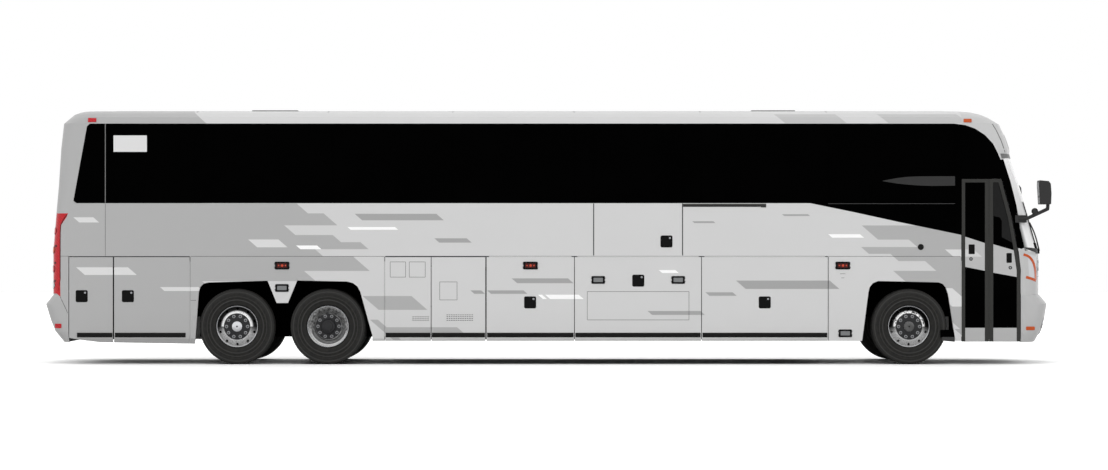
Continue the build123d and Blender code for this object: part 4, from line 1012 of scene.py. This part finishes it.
# Mouldings seen from each side: name, outline, nodes, thickness, material, slot, step
SIDE_MOULDINGS = (
    ("headlamp_amber_arc", ribbon(ARC, 0.034), LAMP_NODES, 0.003, AMBER, "lamp_clear", 0.04),
    ("headlamp_amber_foot", ribbon([(6.497, 1.190), (6.566, 1.172), (6.652, 1.142)], 0.036), LAMP_NODES, 0.003,
     AMBER, "lamp_clear", 0.04),
    ("bumper_marker_front", rounded(6.496, 6.619, 0.466, 0.516, 0.012), "front_bumper", 0.006, AMBER, "lamp_clear",
     0.02),
    ("bumper_marker_rear", rounded(-6.768, -6.672, 0.493, 0.554, 0.008), "rear_bumper", 0.004, RED, "lamp_red", 0.02),
    ("roof_marker_rear", rounded(-6.309, -6.196, 3.306, 3.357, 0.006), "rear_cap roof", 0.012, RED, "lamp_red", 0.02),
    ("roof_marker_front", rounded(5.645, 5.754, 3.301, 3.345, 0.008), "front_cap", 0.014, AMBER, "lamp_clear", 0.02),
    ("pillar_cover", [(6.150, 2.792), (6.192, 2.800), (6.292, 2.484), (6.368, 2.169), (6.414, 1.854), (6.476, 1.590),
                      (6.438, 1.580)], FRONT_SHELL, 0.002, GLASS, "glass"),
    ("visor_lip", [(6.150, 2.878), (6.385, 2.878), (6.385, 2.826), (6.168, 2.812)], FRONT_SHELL, 0.006, GREY_LIP),
    ("cap_front_seam", ribbon([(6.030, 3.310), (6.100, 3.200), (6.170, 3.050), (6.222, 2.895)], 0.009), "front_cap",
     0.0008, SEAM, "body_paint"),
    ("cowl", [(6.478, 1.598), (6.630, 1.585), (6.755, 1.566), (6.755, 1.512), (6.630, 1.530), (6.510, 1.570)],
     FRONT_SHELL, 0.004, COWL),
    ("tail_studs", STUDS, "tail_lamps", 0.003, LAMP_DARK, "lamp_red", 0.02),
    ("tail_edge", ribbon(TAIL_EDGE, 0.012), "tail_lamps rear_cap", 0.0015, LAMP_DARK, "lamp_red", 0.05),
    ("tail_foot", [(-6.692, 1.190), (-6.686, 0.922), (-6.738, 0.962), (-6.738, 1.100)],
     "tail_lamps rear_cap rear_bumper", 0.0016, RED, "lamp_red"),
    ("rear_corner_seam", band(-6.690, -6.573, 1.4735, 1.4785), "rear_cap tail_lamps", 0.0008, SEAM, "body_paint"),
    ("window_corner", CORNER, "side_glass rear_cap", 0.0006, PAINT, "body_paint", 0.2),
    ("bumper_fold", ribbon([(-6.690, 0.925), (-6.640, 0.820), (-6.584, 0.699)], 0.006), "rear_bumper", 0.0008, SEAM,
     "bumper"),
)
# The same across the front
FRONT_MOULDINGS = (
    ("roof_lamps_front", [plate(y, 3.2375, 0.045, 0.0125, 0.010) for y in (-0.190, 0.0, 0.190)], "front_cap", 0.010,
     AMBER, "lamp_clear"),
    ("visor_lip_front", band(-CORNER_Y, CORNER_Y, 2.826, 2.878), FRONT_SHELL, 0.006, GREY_LIP),
    ("cowl_front", band(-CORNER_Y, CORNER_Y, 1.512, 1.566), FRONT_SHELL, 0.004, COWL),
    ("windshield_centre_seal", band(-0.014, 0.014, 1.560, 2.830), FRONT_SHELL, 0.003, BLACK_TRIM),
    ("windshield_foot_band", band(-CORNER_Y, CORNER_Y, 1.560, 1.660), "windshield", 0.0012, GLASS, "glass"),
    ("destination_panel", rounded(-0.78, 0.78, 2.955, 3.150, 0.03), FRONT_SHELL, 0.003, BLACK_GLOSS),
    ("bumper_intake", rounded(-0.680, 0.680, 0.395, 0.560, 0.03), "front_bumper", 0.004, BLACK_TRIM, "trim_black",
     0.015),
    ("bumper_slats", [band(-0.640, 0.640, z, z + 0.018) for z in (0.415, 0.450, 0.485, 0.520)], "front_bumper",
     0.009, BLACK_GLOSS, "trim_black", 0.08),
    ("front_plate_rest", rounded(-0.260, 0.260, 0.640, 0.775, 0.015), "front_bumper", 0.004, BLACK_TRIM,
     "trim_black", 0.04),
    ("nose_vents", [band(-0.520, 0.520, z, z + 0.016) for z in (1.010, 1.045, 1.080)], "nose_panel", 0.003,
     BLACK_TRIM, "trim_black", 0.08),
)
# The same across the rear, and the body that each rides on
REAR_MOULDINGS = (
    ("rear_dark_panel", rounded(-1.020, 1.020, 2.230, 3.110, 0.09, 8), "rear_cap", 0.002, GLASS, "glass", 0.06),
    ("high_brake_lamp", rounded(-0.300, 0.300, 3.165, 3.200, 0.012), "rear_cap", 0.008, RED, "lamp_red", 0.04),
    ("engine_grille_back", rounded(-0.660, 0.660, 1.180, 1.800, 0.03), "engine_door", 0.001, BLACK_TRIM,
     "trim_black", 0.05, "engine_door"),
    ("engine_grille", [band(-0.640, 0.640, 1.200 + 0.045 * i, 1.226 + 0.045 * i) for i in range(13)], "engine_door",
     0.010, COWL, "trim_black", 0.10, "engine_door"),
    ("engine_plate_rest", rounded(-0.200, 0.200, 1.015, 1.145, 0.012), "engine_door", 0.003, COWL, "trim_black",
     0.05, "engine_door"),
)
BLADE = [(y, z, 0.012) for y, z in ((1.120, 1.640), (1.140, 1.850), (1.148, 2.050), (1.140, 2.215))]
ARM = ((0.860, 1.548, 0.020), (0.980, 1.720, 0.030), (1.090, 1.830, 0.030), (1.136, 1.930, 0.018))
PIVOT_Y, PIVOT_Z = 0.860, 1.545
BOWLS_Y, BOWL_Z = (0.770, 0.975), 1.345
DIODE_Y, DIODE_PITCH, DIODE_Z = 0.705, 0.045, 1.205
FOG_Y, FOG_Z = 0.960, 0.560
TAIL_Y = 1.163
ENGINE_LATCH_Y = 0.780
# Discs of a lamp, each over the last: name, radius, thickness, material, slot
BOWL_DISCS = (("bowl", 0.092, 0.004, CAP_METAL, "lamp_clear"), ("core", 0.074, 0.006, BLACK_GLOSS, "lamp_clear"),
              ("lens", 0.054, 0.009, MIRROR_FACE, "lamp_clear"))
FOG_DISCS = (("bezel", 0.075, 0.003, BLACK_GLOSS, "trim_black"), ("lens", 0.052, 0.007, MIRROR_FACE, "lamp_clear"))
for side, sign in SIGN.items():
    for name, outlines, nodes, *how in SIDE_MOULDINGS:
        draped(f"{name}_{side}", outlines, nodes, side, *how)
    # front: wipers, headlamps with two bright bowls and a row of diodes, fog lamps
    tube(f"wiper_blade_{side}", [front_point(sign * y, z, out) for y, z, out in BLADE], 0.008, BLACK_TRIM)
    tube(f"wiper_arm_{side}", [front_point(sign * y, z, out) for y, z, out in ARM], 0.010, COWL)
    draped(f"wiper_pivot_{side}", circle(sign * PIVOT_Y, PIVOT_Z, 0.034), FRONT_SHELL, "front", 0.022, BLACK_TRIM)
    draped(f"headlamp_bezel_{side}", mirrored(sign, rounded(0.655, 1.100, 1.165, 1.480, 0.06)), LAMP_NODES, "front",
           0.0012, LAMP_BACK, "lamp_clear")
    for part, radius, *how in BOWL_DISCS:
        for i, y in enumerate(BOWLS_Y):
            draped(f"headlamp_{part}_{side}_{i}", circle(sign * y, BOWL_Z, radius), LAMP_NODES, "front", *how, 0.02)
    diodes = [circle(sign * (DIODE_Y + DIODE_PITCH * i), DIODE_Z, 0.013, 12) for i in range(9)]
    draped(f"headlamp_diodes_{side}", diodes, LAMP_NODES, "front", 0.004, PLATE, "lamp_clear", 0.02)
    for part, radius, *how in FOG_DISCS:
        draped(f"fog_{part}_{side}", circle(sign * FOG_Y, FOG_Z, radius), "front_bumper", "front", *how, 0.02)
    # rear: mirror faces, tail lamps, reflectors, engine door latches
    faces = [rounded(*sorted((sign * 1.348, sign * 1.552)), *z, 0.02) for z in ((2.290, 2.480), (2.200, 2.275))]
    draped(f"mirror_face_{side}", faces, "mirrors", "rear", 0.0012, MIRROR_DARK)
    for part, z, glass in (("brake", 1.820, RED), ("turn", 1.560, AMBER), ("stop", 1.300, RED),
                           ("reverse", 1.080, CLEAR_LENS)):
        for end, radius, *how in (("_ring", 0.050, 0.003, BLACK_GLOSS, "trim_black"),
                                  ("", 0.043, 0.007, glass, "lamp_red")):
            draped(f"tail_{part}{end}_{side}", circle(sign * TAIL_Y, z, radius), "tail_lamps", "rear", *how, 0.02)
    draped(f"rear_reflector_{side}", mirrored(sign, rounded(0.900, 1.080, 0.560, 0.610, 0.01)), "rear_bumper", "rear",
           0.004, RED, "lamp_red")
    for part, box, *how in (("latch", (1.095, 0.040, 0.040, 0.012), 0.004, BLACK_GLOSS),
                            ("paddle", (1.089, 0.026, 0.019, 0.008), 0.010, BLACK_TRIM)):
        draped(f"engine_{part}_{side}", plate(sign * ENGINE_LATCH_Y, *box), "engine_door", "rear", *how,
               step=0.04, body="engine_door")
for facing, rows in (("front", FRONT_MOULDINGS), ("rear", REAR_MOULDINGS)):
    for name, outlines, nodes, *how in rows:
        draped(name, outlines, nodes, facing, *how)
RIM_WIDTH = 0.030
RIM_GAP = 0.004
HINGE_GAP = 0.010  # ahead of a hatch, whose front edge dips as it opens
for hatch in ("roof_hatch_rear", "roof_hatch_front"):
    low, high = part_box(hatch)
    x0, x1, y0, y1 = low[0] - RIM_GAP, high[0] + HINGE_GAP, low[1] - RIM_GAP, high[1] + RIM_GAP
    rim = [band(x0 - RIM_WIDTH, x1 + RIM_WIDTH, y1, y1 + RIM_WIDTH),
           band(x0 - RIM_WIDTH, x1 + RIM_WIDTH, y0 - RIM_WIDTH, y0),
           band(x0 - RIM_WIDTH, x0, y0, y1), band(x1, x1 + RIM_WIDTH, y0, y1)]
    draped(hatch + "_rim", rim, "roof", "top", 0.003, COWL, step=0.1)
joints = [band(x - 0.006, x + 0.006, -0.98, 0.98) for x in (-4.85, -3.05, -1.337, 0.33, 2.063, 3.798)]
joints += [band(-6.000, 5.450, y - 0.005, y + 0.005) for y in (-0.62, 0.62)]
draped("roof_joints", joints, "roof front_cap rear_cap", "top", 0.0012, SEAM_LIGHT, "body_paint", 0.06)

# ---- dashboard ----
DIALS = ((0.480, 0.045), (0.620, 0.055), (0.760, 0.045))  # y, radius
DIAL_Z = 1.840
BEZEL = 0.007
DIAL = moulded("dial_face", 26, (0.2, 0.3), Coat_Weight=0.3)
SWITCHES = [band(y, y + 0.030, 1.770, 1.800) for y in (-0.30, -0.26, -0.22, -0.10, -0.06, -0.02, 0.10, 0.14, 0.18)]
for name, outlines, thickness, material in (
    ("dial_rims", [circle(y, DIAL_Z, r + BEZEL, 20) for y, r in DIALS], 0.004, CAP_METAL),
    ("dial_faces", [circle(y, DIAL_Z, r, 20) for y, r in DIALS], 0.005, DIAL),
    ("dash_switches", SWITCHES, 0.006, BLACK_GLOSS),
):
    draped(name, outlines, "dashboard", "rear", thickness, material, "dash", 0.04)

# ---- seats: padded cushions and backs on steel frames ----
PIPING_AT = 0.52  # where the piped seam runs round a pad, from its middle plane to its face
PIPING = 0.012  # how far it stands out, as a share of the pad
CHANNEL_AT = 0.34  # the two channels along a pad, from its middle to its side
CHANNEL = 0.16  # their depth, as a share of half the thickness
# Where a pad's lattice has its lines, along, across and through it
STOPS = (
    (-1.0, -0.97, -0.92, -0.84, -0.70, -0.56, -0.515, -0.50, -0.485, -0.44, -0.30, -0.10, 0.12, 0.34, 0.56, 0.76,
     0.90, 0.97, 1.0),
    (-1.0, -0.97, -0.90, -0.78, -0.60, -0.42, -0.36, -CHANNEL_AT, -0.32, -0.26, -0.12, 0.0, 0.12, 0.26, 0.32,
     CHANNEL_AT, 0.36, 0.42, 0.60, 0.78, 0.90, 0.97, 1.0),
    (-1.0, -0.70, -0.20, 0.20, 0.46, PIPING_AT, 0.58, 0.80, 1.0),
)
OFF_PAD = -2.0  # a place for the channel across a pad that has none
CUBE_FACE = ((0, 0), (1, 0), (1, 1), (0, 1))


def groove(value, centre, width):
    return math.exp(-((value - centre) / width) ** 2)


def pad_mesh(name, length, width, thickness, cross_at=OFF_PAD, bulge=0.0):
    """A sewn pad: x is its length, y its width and +z its face. It is crowned, its sides pull in
    between the corners, two channels run along it and one across, and a piped seam goes round."""
    bm = bmesh.new()
    made = {}

    def vert(key):
        if key not in made:
            u, v, w = (STOPS[i][key[i]] for i in range(3))
            norm = (abs(u) ** 7 + abs(v) ** 7 + abs(w) ** 5) ** (-1 / 6.5)
            x, y, z = u * norm, v * norm, w * norm
            x *= 1 - 0.020 * (1 - y * y)
            y *= 1 - 0.028 * (1 - x * x)
            if w > 0:
                z *= 1 - 0.16 * max(abs(x), abs(y)) ** 3
                edge = 1 - max(abs(u), abs(v)) ** 10
                z -= edge * w * (CHANNEL * (groove(v, -CHANNEL_AT, 0.030) + groove(v, CHANNEL_AT, 0.030))
                                 + 0.18 * groove(u, cross_at, 0.022))
                z += edge * w * bulge * (groove(v, -0.72, 0.22) + groove(v, 0.72, 0.22))
            grow = (1 + PIPING * groove(w, PIPING_AT, 0.045)) / (1 + PIPING) / 2
            made[key] = bm.verts.new((x * grow * length, y * grow * width, min(z, 1.0) * thickness / 2))
        return made[key]

    last = [len(row) - 1 for row in STOPS]
    for fixed in range(3):
        a, b = [i for i in range(3) if i != fixed]
        for end in (0, last[fixed]):
            for i in range(last[a]):
                for j in range(last[b]):
                    corners = []
                    for da, db in CUBE_FACE:
                        key = [end, end, end]
                        key[a], key[b] = i + da, j + db
                        corners.append(vert(tuple(key)))
                    bm.faces.new(corners)
    mesh = to_mesh(bm, name, SEAT)
    mesh.shade_smooth()
    return mesh


def place_seat(name, mesh, location, rotation=(0, 0, 0)):
    """A pad, or with no fill a rigid part, that stands for the CAD seats."""
    obj = add_object(name, mesh, location, rotation)
    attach(obj, "root")
    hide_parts("seats")


def steel_mesh(name, parts, offset):
    """Steel parts with every edge rounded off: outlines with their two ends in y."""
    bm = bmesh.new()
    for points, y0, y1 in parts:
        add_prism(bm, points, y0, y1)
    bmesh.ops.recalc_face_normals(bm, faces=bm.faces)
    bmesh.ops.bevel(bm, geom=bm.edges[:], offset=offset, segments=1, affect="EDGES")
    return to_mesh(bm, name, SEAT_STEEL, False)


LEG = ((-0.145, 1.372), (0.095, 1.372), (0.095, 1.390), (0.030, 1.400), (0.014, 1.660), (0.090, 1.686),
       (-0.140, 1.686), (-0.064, 1.660), (-0.080, 1.400), (-0.145, 1.390))
# One bench with its row at x = 0: pan, legs and the bar between them, back shell, arm, grab handle
BENCH = (
    (((-0.222, 1.684), (0.222, 1.684), (0.226, 1.698), (-0.226, 1.698)), 0.262, 1.163),
    (LEG, 0.520, 0.550), (LEG, 0.860, 0.890),
    (band(-0.040, -0.012, 1.500, 1.528), 0.545, 0.865),
    (((-0.232, 1.752), (-0.224, 1.752), (-0.334, 2.440), (-0.340, 2.440)), 0.270, 1.155),
    (((-0.200, 1.930), (-0.190, 1.900), (0.120, 1.925), (0.150, 1.945), (0.145, 1.965), (0.110, 1.972),
      (-0.205, 1.965)), 0.257, 0.291),
    (((-0.330, 2.440), (-0.250, 2.440), (-0.262, 2.474), (-0.328, 2.474)), 0.262, 0.290),
)
ROWS = 13
FRONT_ROW_X = 4.650
ROW_PITCH = 0.815
UPRIGHT = math.pi / 2
LEAN = math.atan2(0.125, 0.730)  # from upright, as the CAD back leans
SEAT_PAD = pad_mesh("seat_pad", 0.352, 0.445, 0.118, bulge=0.05)
BACK_PAD = pad_mesh("back_pad", 0.715, 0.440, 0.096, -0.50, 0.10)
for side, sign in SIGN.items():
    steel = steel_mesh("bench_frame_" + side, [(points, sign * y0, sign * y1) for points, y0, y1 in BENCH], 0.0025)
    for row in range(ROWS):
        x = FRONT_ROW_X - ROW_PITCH * row
        place_seat(f"bench_frame_{side}_{row}", steel, (x, 0, 0))
        for seat, y in (("aisle", 0.482), ("window", 0.941)):
            place_seat(f"cushion_{side}_{row}_{seat}", SEAT_PAD, (x + 0.052, sign * y, 1.7605))
            place_seat(f"back_{side}_{row}_{seat}", BACK_PAD, (x - 0.2290, sign * y, 2.1150), (0, UPRIGHT - LEAN, 0))

# Driver's seat: foot, bellows, pan, back shell, arms, headrest posts
base = [(band(-0.148, 0.148, 1.372, 1.392), -0.148, 0.148)]
for z in (1.395 + 0.043 * i for i in range(6)):
    base.append(([(-0.116, z), (0.116, z), (0.140, z + 0.021), (0.116, z + 0.041), (-0.116, z + 0.041),
                  (-0.140, z + 0.021)], -0.140, 0.140))
base += [(band(-0.225, 0.225, 1.660, 1.697), -0.235, 0.235), (band(-0.332, -0.322, 1.700, 2.330), -0.225, 0.225)]
for y in (-0.245, 0.215):
    base.append(([(-0.320, 1.960), (0.060, 1.975), (0.085, 1.990), (0.060, 2.008), (-0.320, 2.000)], y, y + 0.030))
base += [(band(-0.278, -0.266, 2.300, 2.360), y, y + 0.012) for y in (-0.070, 0.058)]
DRIVER_X, DRIVER_Y = 5.560, 0.620
place_seat("driver_seat_base", steel_mesh("driver_seat_base", base, 0.004), (DRIVER_X, DRIVER_Y, 0))
for part, ahead, z, turn, *size in (
    ("cushion", 0.012, 1.7545, 0, 0.440, 0.480, 0.108, OFF_PAD, 0.10),
    ("back", -0.266, 2.040, UPRIGHT, 0.560, 0.460, 0.104, -0.50, 0.14),
    ("headrest", -0.268, 2.425, UPRIGHT, 0.165, 0.270, 0.096),
):
    place_seat("driver_" + part, pad_mesh(f"driver_{part}_pad", *size), (DRIVER_X + ahead, DRIVER_Y, z), (0, turn, 0))

# ---- floor ----
FLOOR_SEEN = (1.35, 1.35, 1.35, 1.0)
bm = bmesh.new()
bmesh.ops.create_grid(bm, x_segments=40, y_segments=40, size=90.0)
s = Shader("studio_floor", srgb(250), 0.9, specular=0.0)
# painted shadow: where the camera sees it, the floor is darkened by ambient occlusion under and beside the bus
shade = s.node("AmbientOcclusion", samples=6)
shade.inputs["Distance"].default_value = 0.7
seen_tone_with_painted_shadow = s.mix(s.ramp(shade.outputs["AO"], (0.22, 0.10), (0.66, 1.0)), (0, 0, 0, 1), FLOOR_SEEN)
bounced = s.mix(s.noise(2.0, 2.0), srgb(232), srgb(228))
s.colour(s.mix(s.node("LightPath").outputs["Is Camera Ray"], bounced, seen_tone_with_painted_shadow))
add_object("studio_floor", to_mesh(bm, "studio_floor", s.material, False))
